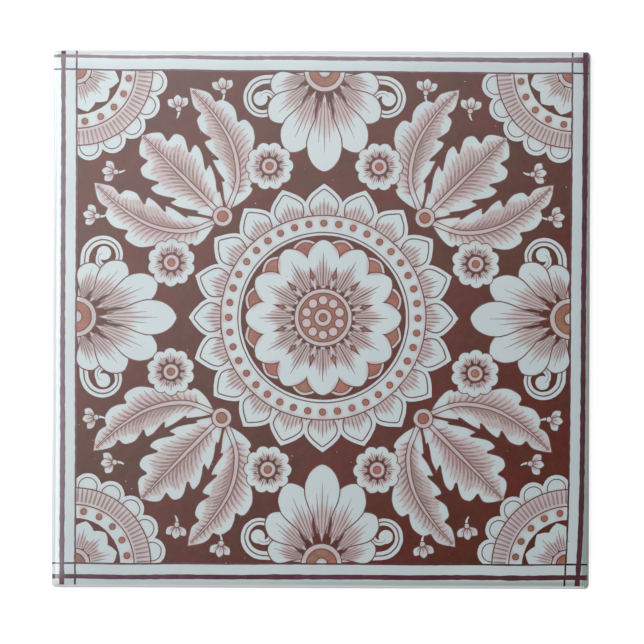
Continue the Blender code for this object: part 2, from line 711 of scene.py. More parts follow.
@dataclass(frozen=True)
class HandLaying:
    """How the printed tissue lies on the tile: a little high, and skewed and stretched by hand."""

    half: float = FIELD_HALF
    top_left: Pair = (0.60, 0.50)
    top_right: Pair = (0.96, -0.06)
    bottom_left: Pair = (0.61, 0.66)
    bottom_right: Pair = (0.22, 0.74)
    creep: float = 0.63  # how far its lower right corner crept to the left
    creep_start: float = 32.0  # how far below the middle that begins
    stretch: float = 0.10
    stretch_length: float = 55.0
    tremor: float = 0.05
    tremor_length: float = 3.6
    waves: int = 4  # of each kind, each shorter than the one before
    shortening: float = 0.8
    seed: int = 7

    def __call__(self, points: np.ndarray) -> np.ndarray:
        """Takes points of the engraved plate to where they lie on the tile.

        Args:
            points: (n, 2) points.

        Returns:
            The points in the tile's frame.
        """
        right, up = (points / self.half * 0.5 + 0.5).T[:, :, None]
        top = np.array(self.top_left) * (1 - right) + np.array(self.top_right) * right
        bottom = np.array(self.bottom_left) * (1 - right) + np.array(self.bottom_right) * right
        laid = points + bottom * (1 - up) + top * up
        low = ((-points[:, 1] - self.creep_start) / (self.half - self.creep_start)).clip(0.0)
        laid[:, 0] -= self.creep * low**3 * (points[:, 0] / self.half).clip(0.0) ** 2
        draw = np.random.default_rng(self.seed)
        for size, length in ((self.stretch, self.stretch_length), (self.tremor, self.tremor_length)):
            for _ in range(self.waves):
                heading, lean, phase = draw.uniform(0.0, TAU, 3)
                wave = np.sin(TAU / length * (points @ polar(1.0, heading)) + phase)
                laid += wave[:, None] * np.array(polar(size / 2, lean))
                length *= self.shortening
        return laid


@dataclass
class Arrangement:
    """The print cut into triangles, none of which crosses from one ink into another."""

    points: np.ndarray
    triangles: np.ndarray
    inks: np.ndarray  # each triangle's ink, by its number in Ink

    def of(self, ink: Ink) -> np.ndarray:
        """The triangles that show an ink."""
        return self.triangles[self.inks == list(Ink).index(ink)]


class PrintSheet:
    """The print as closed outlines in painter's order."""

    def __init__(self, materials: dict[Ink, Material]) -> None:
        """Starts an empty sheet.

        Args:
            materials: the finish of each ink, and of the bare glaze.
        """
        self.materials = materials
        self.turned_copies = TurnedCopies()
        self.vein_strokes = Veins()
        self.strewn_specks = Specks()
        self.layers: list[tuple[Ink, Outline]] = []

    def paint(self, ink: Ink, outlines: Outlines, *rings: Ring) -> None:
        """Lays outlines over what is there.

        Args:
            ink: what they show.
            outlines: drawn in place, or round the origin of the first ring.
            rings: the rings that repeat them, from the smallest to the largest.
        """
        for ring in rings:
            outlines = self.turned_copies(outlines, ring, self.materials[ink])
        self.layers += [(ink, anticlockwise(outline)) for outline in outlines]

    def speckle(self, ink: Ink, area: Outline, density: float, radii: Pair, seed: int) -> None:
        """Strews small flaws of an ink, or of bare glaze, over an area."""
        self.paint(ink, self.strewn_specks(area, density, radii, seed, self.materials[ink]))

    def arranged(self, area: Outline, lay: HandLaying, creases: list[np.ndarray]) -> Arrangement:
        """Cuts the layers into one flat arrangement.

        Args:
            area: the outline of the surface that can be printed, in the tile's frame.
            lay: takes the plate's points to the tile.
            creases: straight lines that triangles keep to as well, so that the print can bend along them.

        Returns:
            The arrangement inside the area.
        """
        outlines = [area] + [lay(outline) for _, outline in self.layers]
        points, triangles, owners = cut_apart([closed_shortly(outline) for outline in outlines], creases)
        shown = np.array([0] + [list(Ink).index(ink) for ink, _ in self.layers])
        inside = [0 in owner for owner in owners]
        top = np.array([max(owner, default=0) for owner in owners])
        return Arrangement(points, triangles[inside], shown[top][inside])


# The print's motifs


QUARTERS = Ring(4)
SIDES = Ring(4, FIELD_HALF)  # the middles of the field's four sides
CORNERS = Ring(4, FIELD_HALF * math.sqrt(2), math.pi / 4)
RAY_LEAN = 0.35  # how far the outermost rays lean out, to their length
RAY_TAPER = (0.8, 1.0, 0.25)  # a ray's width at its root, its middle and its tip


def rays(count: int, spread: float, root: float, lengths: Pair, width: float) -> Outlines:
    """Tapered strokes that spread from a point below the origin, the middle one the longest.

    Args:
        count: how many strokes there are.
        spread: the distance between the outermost two at their roots.
        root: how far from the origin they start.
        lengths: of the middle stroke and of the outermost ones.
        width: of a stroke at its thickest.

    Returns:
        The strokes.
    """
    strokes = []
    for share in np.linspace(-1.0, 1.0, count):
        foot = spread / 2 * share
        length = lengths[0] + (lengths[1] - lengths[0]) * abs(share)
        tip = foot + RAY_LEAN * foot / max(spread, 1.0) * length
        strokes.append(bar((foot, root), (tip, root + length), *(width * part for part in RAY_TAPER)))
    return strokes


@dataclass
class Motif:
    """A part of the print."""

    sheet: PrintSheet  # takes its outlines

    def paint(self, ink: Ink, outlines: Outlines, *rings: Ring) -> None:
        """Lays outlines over what is there."""
        self.sheet.paint(ink, outlines, *rings)

    def lined(self, ink: Ink, outlines: Outlines, line: float, *rings: Ring) -> None:
        """Lays outlines that have an engraved line of a given width round their inside."""
        self.paint(Ink.LINE, outlines, *rings)
        self.paint(ink, [inset(outline, line) for outline in outlines], *rings)


@dataclass
class Roundel(Motif):
    """The large flower in the middle, drawn from its crown inwards."""

    line: float = 0.36
    crown_count: int = 20
    crown_root: float = 26.0
    crown_length: float = 12.2
    crown_half_width: float = 5.3
    crown_rim: float = 1.0  # outside a lobe's inner contour
    band_outer: float = 29.3
    band_inner: float = 24.4
    pearl_count: int = 40
    pearl_radius: float = 1.05
    pearl_line: float = 0.24
    well_radius: float = 23.4
    petal_count: int = 12
    petal_root: float = 6.0
    petal_length: float = 16.4
    petal_half_width: float = 4.8
    rib_ends: Pair = (3.0, 12.4)  # of the line down each petal
    rib_widths: Sizes = (0.42, 0.34, 0.1)
    hinder_length: float = 16.7
    hinder_half_width: float = 4.2
    hinder_rim: float = 0.6  # the bare contour round each of the hinder petals
    fine_line: float = 0.3
    eye_radius: float = 8.4
    eye_rim: float = 1.3
    seed_count: int = 10
    seed_circle: float = 4.9
    seed_radius: float = 1.5
    hub_radii: Pair = (2.7, 1.3)  # of its bare ring and its tinted middle

    def draw(self) -> None:
        """Draws the roundel."""
        self.crown()
        self.band()
        self.flower()
        self.eye()

    def crown(self) -> None:
        """The outer ring of pointed lobes, each with an inner contour and its veins."""
        ring = Ring(self.crown_count, self.crown_root)
        lobe = petal(self.crown_length, self.crown_half_width, belly=0.5, neck=0.5, tip=0.95)
        self.paint(Ink.BARE, [lobe], ring)
        self.lined(Ink.BARE, [inset(lobe, self.crown_rim)], self.line, ring)
        self.paint(Ink.SHADE, rays(count=7, spread=5.8, root=3.3, lengths=(4.9, 1.7), width=0.5), ring)

    def band(self) -> None:
        """The bare band between two lines, with its circle of pearls."""
        self.lined(Ink.BARE, [disc(self.band_outer)], self.line)
        ring = Ring(self.pearl_count, (self.band_outer + self.band_inner) / 2)
        self.lined(Ink.TINT, [disc(self.pearl_radius)], self.pearl_line, ring)
        self.lined(Ink.BARE, [disc(self.band_inner)], self.line)
        self.paint(Ink.GROUND, [disc(self.well_radius)])

    def flower(self) -> None:
        """Two turns of petals, the hinder ones tinted."""
        between = Ring(self.petal_count, self.petal_root, math.pi / self.petal_count)
        hinder = petal(self.hinder_length, self.hinder_half_width, belly=0.76, neck=0.8, tip=0.58)
        self.paint(Ink.BARE, [hinder], between)
        self.lined(Ink.TINT, [inset(hinder, self.hinder_rim)], self.fine_line, between)
        ring = Ring(self.petal_count, self.petal_root)
        front = petal(self.petal_length, self.petal_half_width, belly=0.66, neck=0.85, tip=0.62)
        self.lined(Ink.BARE, [front], self.line, ring)
        self.paint(Ink.SHADE, rays(count=7, spread=3.4, root=3.0, lengths=(9.4, 4.2), width=0.46), ring)
        root, tip = self.rib_ends
        self.paint(Ink.LINE, [bar((0.0, root), (0.0, tip), *self.rib_widths)], ring)

    def eye(self) -> None:
        """The ringed middle with its seeds."""
        self.lined(Ink.BARE, [disc(self.eye_radius)], self.line)
        self.lined(Ink.TINT, [disc(self.eye_radius - self.eye_rim)], self.line)
        seeds = Ring(self.seed_count, self.seed_circle)
        self.lined(Ink.BARE, [disc(self.seed_radius)], self.fine_line, seeds)
        self.lined(Ink.BARE, [disc(self.hub_radii[0])], self.line)
        self.lined(Ink.TINT, [disc(self.hub_radii[1])], self.fine_line)


@dataclass
class CornerRosette(Motif):
    """A quarter of a rosette in each corner of the field, which four laid tiles make whole."""

    line: float = 0.36
    lobe_count: int = 5
    lobe_circle: float = 22.0
    lobe_radius: float = 3.9
    lobe_rim: float = 1.1
    lobe_line: float = 0.3
    circle_rim: float = 0.4
    hatch_count: int = 24
    hatch_root: float = 17.4
    hatch_length: float = 3.8
    hatch_widths: Sizes = (0.6, 0.55, 0.35)
    ring_outer: float = 16.8
    ring_inner: float = 12.8
    inner_line: float = 0.2
    pearl_count: int = 5
    pearl_radius: float = 1.0
    pearl_line: float = 0.24
    petal_count: int = 3
    petal_root: float = 3.0
    petal_length: float = 9.2
    petal_half_width: float = 3.2
    eye_radius: float = 4.4
    eye_rim: float = 1.4

    def inwards(self, count: int, radius: float) -> tuple[Ring, Ring]:
        """The rings that spread copies over each corner's quarter circle."""
        first = math.pi * 3 / 4 + math.pi / 4 / count
        return Ring(count, radius, first, math.pi / 2), CORNERS

    def draw(self) -> None:
        """Draws the four quarters. The margin covers what lies outside the field."""
        lobes = self.inwards(self.lobe_count, self.lobe_circle)
        self.paint(Ink.BARE, [disc(self.lobe_radius)], *lobes)
        self.paint(Ink.BARE, [disc(self.lobe_circle)], CORNERS)
        self.lined(Ink.BARE, [disc(self.lobe_radius - self.lobe_rim)], self.lobe_line, *lobes)
        self.lined(Ink.BARE, [disc(self.lobe_circle - self.circle_rim)], self.line, CORNERS)
        hatch = bar((0.0, 0.0), (0.0, self.hatch_length), *self.hatch_widths)
        self.paint(Ink.SHADE, [hatch], *self.inwards(self.hatch_count, self.hatch_root))
        self.lined(Ink.BARE, [disc(self.ring_outer)], self.line, CORNERS)
        pearls = self.inwards(self.pearl_count, (self.ring_outer + self.ring_inner) / 2)
        self.lined(Ink.TINT, [disc(self.pearl_radius)], self.pearl_line, *pearls)
        self.lined(Ink.GROUND, [disc(self.ring_inner)], self.inner_line, CORNERS)
        leaf = petal(self.petal_length, self.petal_half_width, belly=0.62, neck=0.8, tip=0.8)
        rings = self.inwards(self.petal_count, self.petal_root)
        self.paint(Ink.BARE, [leaf], *rings)
        self.paint(Ink.SHADE, rays(count=5, spread=2.6, root=1.6, lengths=(5.6, 2.6), width=0.42), *rings)
        self.lined(Ink.BARE, [disc(self.eye_radius)], self.line, CORNERS)
        self.lined(Ink.TINT, [disc(self.eye_radius - self.eye_rim)], self.line, CORNERS)


@dataclass
class Palmette(Motif):
    """A palmette in the middle of each side, its lobes spread inwards over two volutes."""

    line: float = 0.34
    lobe_lengths: Sizes = (28.6, 25.2, 20.8, 16.2)
    lobe_spread: float = math.radians(24.0)
    lobe_half_width: float = 5.2
    root: float = 3.0  # where the lobes start, under the calyx
    calyx_radii: Sizes = (6.0, 4.5, 1.9)
    volute_stem: Points = ((2.0, -1.2), (9.0, -1.8), (14.0, -2.2))
    volute_centre: Pair = (17.0, -8.2)
    volute_radii: Pair = (5.8, 1.2)
    volute_angles: Pair = (math.pi / 2, -1.9 * math.pi)
    volute_widths: Sizes = (2.0, 2.1, 2.5, 2.2, 1.8, 1.4)
    volute_line: Sizes = (0.1, 0.4, 0.4, 0.35, 0.1)
    volute_eye: float = 2.0
    volute_gap: int = 4  # how many points short of the scroll's ends its line stops

    def draw(self) -> None:
        """Draws the four palmettes."""
        self.volutes()
        self.lobes()
        self.calyx()

    def lobes(self) -> None:
        """The club-shaped lobes, the longest in the middle."""
        for number, length in reversed(list(enumerate(self.lobe_lengths))):
            size = length / self.lobe_lengths[0]
            half_width = self.lobe_half_width * size**0.5
            club = petal(length - self.root, half_width, belly=0.7, neck=0.95, tip=0.56)
            lengths = (length * 0.5, length * 0.3)
            slit = rays(count=5, spread=2.6 * size, root=length * 0.2, lengths=lengths, width=0.46)
            for side in (-1, 1) if number else (1,):
                angle = math.pi + side * number * self.lobe_spread
                self.lined(Ink.BARE, turned(moved([club], 0.0, self.root), angle), self.line, SIDES)
                self.paint(Ink.SHADE, turned(moved(slit, 0.0, self.root), angle), SIDES)

    def volutes(self) -> None:
        """The scrolls that leave the calyx on both sides and curl in."""
        coil = spiral(self.volute_centre, self.volute_radii, self.volute_angles)
        path = np.vstack((curve_through(self.volute_stem)[:-1], coil))
        scroll = [stroke(path, *self.volute_widths), disc(self.volute_eye, tuple(coil[-1]))]
        self.paint(Ink.BARE, both_sides(scroll), SIDES)
        lined = path[self.volute_gap : -self.volute_gap]
        self.paint(Ink.LINE, both_sides([stroke(lined, *self.volute_line)]), SIDES)

    def calyx(self) -> None:
        """The half round at the root."""
        for ink, radius in zip((Ink.BARE, Ink.TINT, Ink.BARE), self.calyx_radii):
            self.lined(ink, [disc(radius)], self.line, SIDES)


@dataclass
class Leaf(Motif):
    """A lobed leaf along a curved midrib, shaded by engraved veins."""

    midrib: Points
    half_width: float
    lobes: int
    vein_count: int
    belly: float = 0.45
    notch: float = 0.34
    hook: float = 0.32
    lean: float = math.radians(45.0)
    vein: float = 0.7  # the thickness of a stroke at its thickest
    veined: float = 0.92  # how much of the blade's width the strokes cover
    longest: float = 1.5  # a stroke's length at the most, to half the blade's width
    evened: int = 2  # how many neighbours on each side even out a stroke's length
    firm: float = 0.68  # how much of a stroke is printed firmly; the rest is faint
    shaded: Pair = (0.12, 0.93)  # where the veins start and end, as shares of the leaf's length
    midrib_end: float = 0.96  # where the drawn midrib ends, likewise
    midrib_lines: Sizes = (1.7, 1.6, 1.2, 0.5)  # its widths with the line on both sides
    midrib_widths: Sizes = (1.1, 1.0, 0.65, 0.1)
    outline: float = 0.3
    edge_step: float = 0.3  # between the points of the lobed edge
    midrib_step: float = 0.8

    def width(self, share: np.ndarray) -> np.ndarray:
        """Says how wide the leaf is, without its notches.

        Args:
            share: shares of its length.

        Returns:
            Half its width at each of them.
        """
        bent = share ** (math.log(0.5) / math.log(self.belly))
        swell = np.sin(math.pi * bent).clip(0.0, 1.0)
        return self.half_width * swell ** np.where(share < self.belly, 0.72, 0.9)

    def blade(self, side: int) -> np.ndarray:
        """Draws the lobed edge on one side.

        Args:
            side: 1 for the left side, -1 for the right one.

        Returns:
            The edge, from the root to the tip.
        """
        path = curve_through(self.midrib, self.edge_step)
        share = share_along(path)
        left = sideways(path)
        along = np.column_stack((left[:, 1], -left[:, 0]))
        phase = (share * self.lobes) % 1.0
        bulge = 1.0 - np.abs(2.0 * phase - 1.0) ** 3
        width = self.width(share)[:, None]
        out = width * (1.0 - self.notch + self.notch * bulge[:, None])
        return path + side * left * out + along * self.hook * width * bulge[:, None]

    def reach(self, path: np.ndarray, width: np.ndarray, side: int, blade: Outline) -> np.ndarray:
        """How long strokes are: much the same from one to the next, and inside the blade.

        Args:
            path: the shaded part of the midrib.
            width: half the blade's width at each of its points.
            side: 1 for the blade's left side, -1 for its right one.
            blade: the leaf's outline.

        Returns:
            A length for each point of the path.
        """
        left = sideways(path)
        along = np.column_stack((left[:, 1], -left[:, 0]))
        free = room(blade, path, along * math.cos(self.lean) + left * side * math.sin(self.lean))
        span = 2 * self.evened + 1
        wide = np.pad(np.minimum(free, width * self.longest), self.evened, "edge")
        narrow = np.array([wide[number : number + span].min() for number in range(len(free))])
        smooth = np.convolve(np.pad(narrow, self.evened, "edge"), np.full(span, 1 / span), "valid")
        return np.minimum(smooth, free) * self.veined

    def draw(self, mirror: bool) -> None:
        """Draws the leaf in each quarter.

        Args:
            mirror: whether its mirror image stands across the diagonal.
        """
        copies = both_sides_of_diagonal if mirror else list
        blade = np.vstack((self.blade(-1)[:-1], self.blade(1)[:0:-1]))
        self.lined(Ink.BARE, copies([blade]), self.outline, QUARTERS)
        path = curve_through(self.midrib, self.midrib_step)
        shaded = slice(*(int(share * len(path)) for share in self.shaded))
        inner = path[shaded]
        width = self.width(share_along(path))[shaded]
        veins, ink = self.sheet.vein_strokes, self.sheet.materials[Ink.SHADE]
        for side in (-1, 1):
            reach = self.reach(inner, width, side, blade)
            lean = side * self.lean
            faint = veins(inner, reach, self.vein_count, lean, self.vein, ink)
            firm = veins(inner, reach, self.vein_count, lean, self.vein, ink, self.firm)
            short = veins(inner[1:-1], reach[1:-1] / 2, self.vein_count - 1, lean, self.vein / 2, ink)
            self.paint(Ink.FAINT, copies(faint), QUARTERS)
            self.paint(Ink.SHADE, copies(firm), QUARTERS)
            self.paint(Ink.BLUSH, copies(short), QUARTERS)
        path = path[: int(self.midrib_end * len(path))]
        self.paint(Ink.LINE, copies([stroke(path, *self.midrib_lines)]), QUARTERS)
        self.paint(Ink.BARE, copies([stroke(path, *self.midrib_widths)]), QUARTERS)


@dataclass
class Spray(Motif):
    """The three leaves that grow from a cup on each diagonal, with a daisy on either side."""

    side_midrib: Points = ((27.2, 30.4), (24.4, 39.0), (26.0, 49.0), (31.6, 58.0), (38.4, 65.4))
    middle_midrib: Points = ((28.0, 28.0), (40.0, 40.0), (51.8, 51.8))
    line: float = 0.34
    fine_line: float = 0.3
    cup: Pair = (28.6, 28.6)
    cup_radii: Pair = (3.0, 1.7)  # of its rim and its tinted middle
    daisy_circle: float = 45.8
    daisy_angle: float = math.radians(19.8)
    daisy_petals: int = 10
    daisy_length: float = 5.2  # of a petal
    daisy_half_width: float = 2.05
    daisy_root: float = 1.8  # how far from the daisy's middle the petals start
    daisy_lines: Pair = (0.26, 0.24)  # round a petal and round the tinted middle
    daisy_radii: Pair = (2.4, 1.25)  # of its eye and its tinted middle

    def draw(self) -> None:
        """Draws the four sprays and the eight daisies."""
        beside = Leaf(self.sheet, self.side_midrib, half_width=7.3, lobes=5, vein_count=22)
        beside.draw(mirror=True)
        middle = Leaf(self.sheet, self.middle_midrib, half_width=9.2, lobes=5, vein_count=19, belly=0.52)
        middle.draw(mirror=False)
        self.lined(Ink.BARE, [disc(self.cup_radii[0], self.cup)], self.line, QUARTERS)
        self.lined(Ink.TINT, [disc(self.cup_radii[1], self.cup)], self.fine_line, QUARTERS)
        for side in (-1, 1):
            self.daisies(Ring(4, self.daisy_circle, side * self.daisy_angle))

    def daisies(self, ring: Ring) -> None:
        """Draws four daisies.

        Args:
            ring: where they stand.
        """
        petals = Ring(self.daisy_petals, self.daisy_root)
        leaf = petal(self.daisy_length, self.daisy_half_width, belly=0.66, neck=0.75, tip=0.5)
        self.lined(Ink.BARE, [leaf], self.daisy_lines[0], petals, ring)
        shade = rays(count=3, spread=1.0, root=1.1, lengths=(2.6, 1.6), width=0.36)
        self.paint(Ink.SHADE, shade, petals, ring)
        self.lined(Ink.BARE, [disc(self.daisy_radii[0])], self.fine_line, ring)
        self.lined(Ink.TINT, [disc(self.daisy_radii[1])], self.daisy_lines[1], ring)


@dataclass
class Buds(Motif):
    """Small three-petalled buds on short stems, in the wider stretches of ground."""

    line: float = 0.26
    places: tuple[tuple[float, float, float], ...] = ((41.2, 59.0, 0.1), (28.6, 64.2, 0.15))
    petal_length: float = 4.2
    petal_half_width: float = 1.35
    spread: float = math.radians(44.0)
    shade_root: float = 0.7
    shade_part: float = 0.62  # of a petal's length
    shade_widths: Sizes = (0.5, 0.36, 0.12)
    eye_radius: float = 0.95
    stem: float = 2.6
    stem_widths: Sizes = (0.85, 0.6, 0.3)
    stem_radii: Pair = (3.0, 3.4)

    def draw(self) -> None:
        """Draws the buds and their mirror images in each quarter."""
        for x, y, lean in self.places:
            radius = self.stem_radii[0]
            path = spiral((radius, 0.0), self.stem_radii, (math.pi, math.pi + self.stem / radius))
            stem = stroke(path, *self.stem_widths)
            self.paint(Ink.BARE, self.placed([stem], x, y, lean), QUARTERS)
            for turn in (-self.spread, self.spread, 0.0):
                leaf = petal(self.petal_length, self.petal_half_width, belly=0.6, neck=0.8, tip=0.7)
                tip = (0.0, self.petal_length * self.shade_part)
                shade = bar((0.0, self.shade_root), tip, *self.shade_widths)
                self.lined(Ink.BARE, self.placed(turned([leaf], turn), x, y, lean), self.line, QUARTERS)
                self.paint(Ink.SHADE, self.placed(turned([shade], turn), x, y, lean), QUARTERS)
            self.lined(Ink.BARE, self.placed([disc(self.eye_radius)], x, y, lean), self.line, QUARTERS)

    def placed(self, outlines: Outlines, x: float, y: float, lean: float) -> Outlines:
        """The outlines where a bud stands, and their mirror images across the diagonal."""
        return both_sides_of_diagonal(moved(turned(outlines, -lean), x, y))


@dataclass
class Margin(Motif):
    """The bare margin round the field, with two ruled lines that cross at each corner and run to the edge.

    The thick line has a width at both ends of each side: the top, left, bottom and right ones.
    """

    outer: float = 73.75
    run: float = 78.0  # how far the lines run from the middle, past the tile's edge
    thin: float = 0.52
    thick: tuple[Pair, ...] = ((0.85, 1.45), (1.45, 1.25), (1.45, 1.3), (1.4, 1.5))
    unevenness: float = 0.07  # of a line's width, as the standard deviation over its length
    detail: float = 0.58  # how many widths a line has to the millimetre
    seed: int = 3

    def draw(self) -> None:
        """Covers what reaches out of the field and draws the lines."""
        run, half = self.run, FIELD_HALF
        self.paint(Ink.BARE, [rectangle((-run, half), (run, run))], QUARTERS)
        draw = np.random.default_rng(self.seed)
        for side in range(4):
            self.rule(Ink.RULE, side, (-half, half, half), (self.thin, self.thin), draw)
            self.rule(Ink.TICK, side, (-run, -half, half), (self.thin, self.thin), draw)
            self.rule(Ink.TICK, side, (half, run, half), (self.thin, self.thin), draw)
        for side, ends in enumerate(self.thick):
            self.rule(Ink.RULE, side, (-run, run, self.outer), ends, draw)

    def rule(
        self,
        ink: Ink,
        side: int,
        place: tuple[float, float, float],
        ends: Pair,
        draw: np.random.Generator,
    ) -> None:
        """Draws one uneven line along a side.

        Args:
            ink: what it shows.
            side: how many quarter turns lie between the top side and this one.
            place: where the line starts and ends along the side, and its distance from the middle.
            ends: its widths at its start and its end.
            draw: the source of its unevenness.
        """
        count = int((place[1] - place[0]) * self.detail) + 2
        path = np.column_stack((np.linspace(*place[:2], 2 * count), np.full(2 * count, place[2])))
        widths = np.linspace(*ends, count) * (1.0 + self.unevenness * draw.standard_normal(count))
        self.paint(ink, turned([stroke(path, *widths)], side * math.pi / 2))


@dataclass
class Flaws(Motif):
    """What the press left out and dropped: pinholes in the ink, and stray dots of it on the white."""

    half: float = 75.5
    radii: Pair = (0.05, 0.17)
    pinholes: float = 0.010  # to a square millimetre
    pinhole_seed: int = 11
    dots: float = 0.006
    dot_seed: int = 5

    def draw(self) -> None:
        """Strews the flaws."""
        area = rectangle((-self.half, -self.half), (self.half, self.half))
        self.sheet.speckle(Ink.SHADE, area, self.dots, self.radii, self.dot_seed)
        self.sheet.speckle(Ink.BARE, area, self.pinholes, self.radii, self.pinhole_seed)


def draw_print(sheet: PrintSheet) -> None:
    """Draws the whole print on the engraved plate.

    Args:
        sheet: an empty sheet.
    """
    sheet.paint(Ink.GROUND, [rectangle((-FIELD_HALF, -FIELD_HALF), (FIELD_HALF, FIELD_HALF))])
    for motif in (CornerRosette, Palmette, Spray, Buds, Roundel, Margin, Flaws):
        motif(sheet).draw()


# The slab


def softly(value: np.ndarray) -> np.ndarray:
    """Eases a share from 0 to 1 at both of its ends."""
    share = value.clip(0.0, 1.0)
    return share * share * (3.0 - 2.0 * share)


@dataclass(frozen=True)
class Slab:
    """The tile's outer form: it says where each point of the tile's plan lies on the glaze.

    What differs from edge to edge is given for the left, right, bottom and top one.
    """

    half: float = 76.2
    glaze_top: float = 7.98  # leaves the ink its thickness under the CAD model's face
    roll: float = 0.9  # the radius of the glaze where it turns over the edge
    corner: float = 1.3  # the radius of the plan's corners
    pillow_drop: float = 0.18  # how far the face sinks towards each edge, over the pillow's width
    pillow_width: float = 4.6
    sags: Sizes = (0.06, 0.5, 0.0, 0.04)  # how far the glaze has run off
    sag_width: float = 2.3
    chamfer: float = 0.5
    waver: float = 0.05  # how far the edge strays inwards
    waver_depth: float = 3.0
    bare_edges: Sizes = (0.3, 0.5, 0.85, 0.3)  # how much is unprinted

    def edge_distance(self, plan: np.ndarray) -> np.ndarray:
        """Measures how far inside the plan's rounded outline points lie.

        Args:
            plan: (n, 2) points.

        Returns:
            (n,) distances.
        """
        inner = np.abs(plan) - (self.half - self.corner)
        outside = np.linalg.norm(inner.clip(0.0), axis=1)
        return self.corner - outside - np.minimum(inner.max(axis=1), 0.0)

    def height(self, plan: np.ndarray) -> np.ndarray:
        """Says how high the glaze lies.

        Args:
            plan: (n, 2) points.

        Returns:
            (n,) heights over the back.
        """
        outwards = np.column_stack((-plan[:, 0], plan[:, 0], -plan[:, 1], plan[:, 1]))
        pillow = (1.0 - (self.half - outwards) / self.pillow_width).clip(0.0) ** 2
        sag = (1.0 - (self.half - outwards) / self.sag_width).clip(0.0) ** 2
        reach = (self.roll - self.edge_distance(plan)).clip(0.0, self.roll)
        turned_over = self.roll - np.sqrt(self.roll**2 - reach**2)
        sunk = self.glaze_top - self.pillow_drop * pillow.sum(axis=1)
        return sunk - sag @ np.array(self.sags) - turned_over

    def strayed(self, plan: np.ndarray) -> np.ndarray:
        """Moves points of the plan to where the fired tile has them: its edges waver a little inwards.

        Args:
            plan: (n, 2) points.

        Returns:
            The moved points.
        """
        depth = 1.0 - softly(self.edge_distance(plan) / self.waver_depth)
        x, y = plan.T
        # Slow swells along each edge, and a finer ripple over them
        sway = 0.5 + 0.25 * np.sin(x * 0.083 + 1.0 + y * 0.031) + 0.25 * np.sin(y * 0.117 + 2.0 - x * 0.047)
        fine = 0.5 + 0.5 * np.sin(x * 0.61 + y * 0.57) * np.sin(x * 0.23 - y * 0.29 + 1.0)
        inwards = -np.sign(plan) * (np.abs(plan) > self.half - self.waver_depth)
        return plan + inwards * (depth * self.waver * (0.75 * sway + 0.25 * fine))[:, None]

    def on_glaze(self, plan: np.ndarray, lift: float = 0.0) -> np.ndarray:
        """Where points of the plan lie on the glaze, or that far over it, in metres."""
        return np.column_stack((self.strayed(plan), self.height(plan) + lift)) * MM

    def printable(self) -> Outline:
        """The rectangle that took the print, a little short of each edge."""
        left, right, bottom, top = (self.half - bare for bare in self.bare_edges)
        return np.array(((-left, -bottom), (right, -bottom), (right, top), (-left, top)))


def strip(above: np.ndarray, below: np.ndarray) -> list[list[int]]:
    """The quads between two closed rows of points, which are given by their numbers."""
    return np.column_stack((above, below, np.roll(below, -1), np.roll(above, -1))).tolist()


class WellGrid(GeometryTool):
    """Copies of one cell on a square grid, joined where they meet."""

    JOIN = 1e-6  # metres between points that become one

    def __init__(self) -> None:
        """Builds the geometry-node tree."""
        super().__init__("well_grid", Wells="Int", Pitch="Float")
        tree, wells = self.tree, self.given["Wells"]
        gaps = calculate(tree, "SUBTRACT", wells, 1.0)
        reach = product(tree, gaps, self.given["Pitch"])
        sizes = {"Size X": reach, "Size Y": reach, "Vertices X": wells, "Vertices Y": wells}
        grid = add_node(tree, "GeometryNodeMeshGrid", sizes).outputs[0]
        inputs = {"Points": grid, "Instance": self.given["Geometry"]}
        cells = add_node(tree, "GeometryNodeInstanceOnPoints", inputs).outputs[0]
        real = add_node(tree, "GeometryNodeRealizeInstances", {"Geometry": cells}).outputs[0]
        inputs = {"Geometry": real, "Distance": self.JOIN}
        self.end(add_node(tree, "GeometryNodeMergeByDistance", inputs).outputs[0])


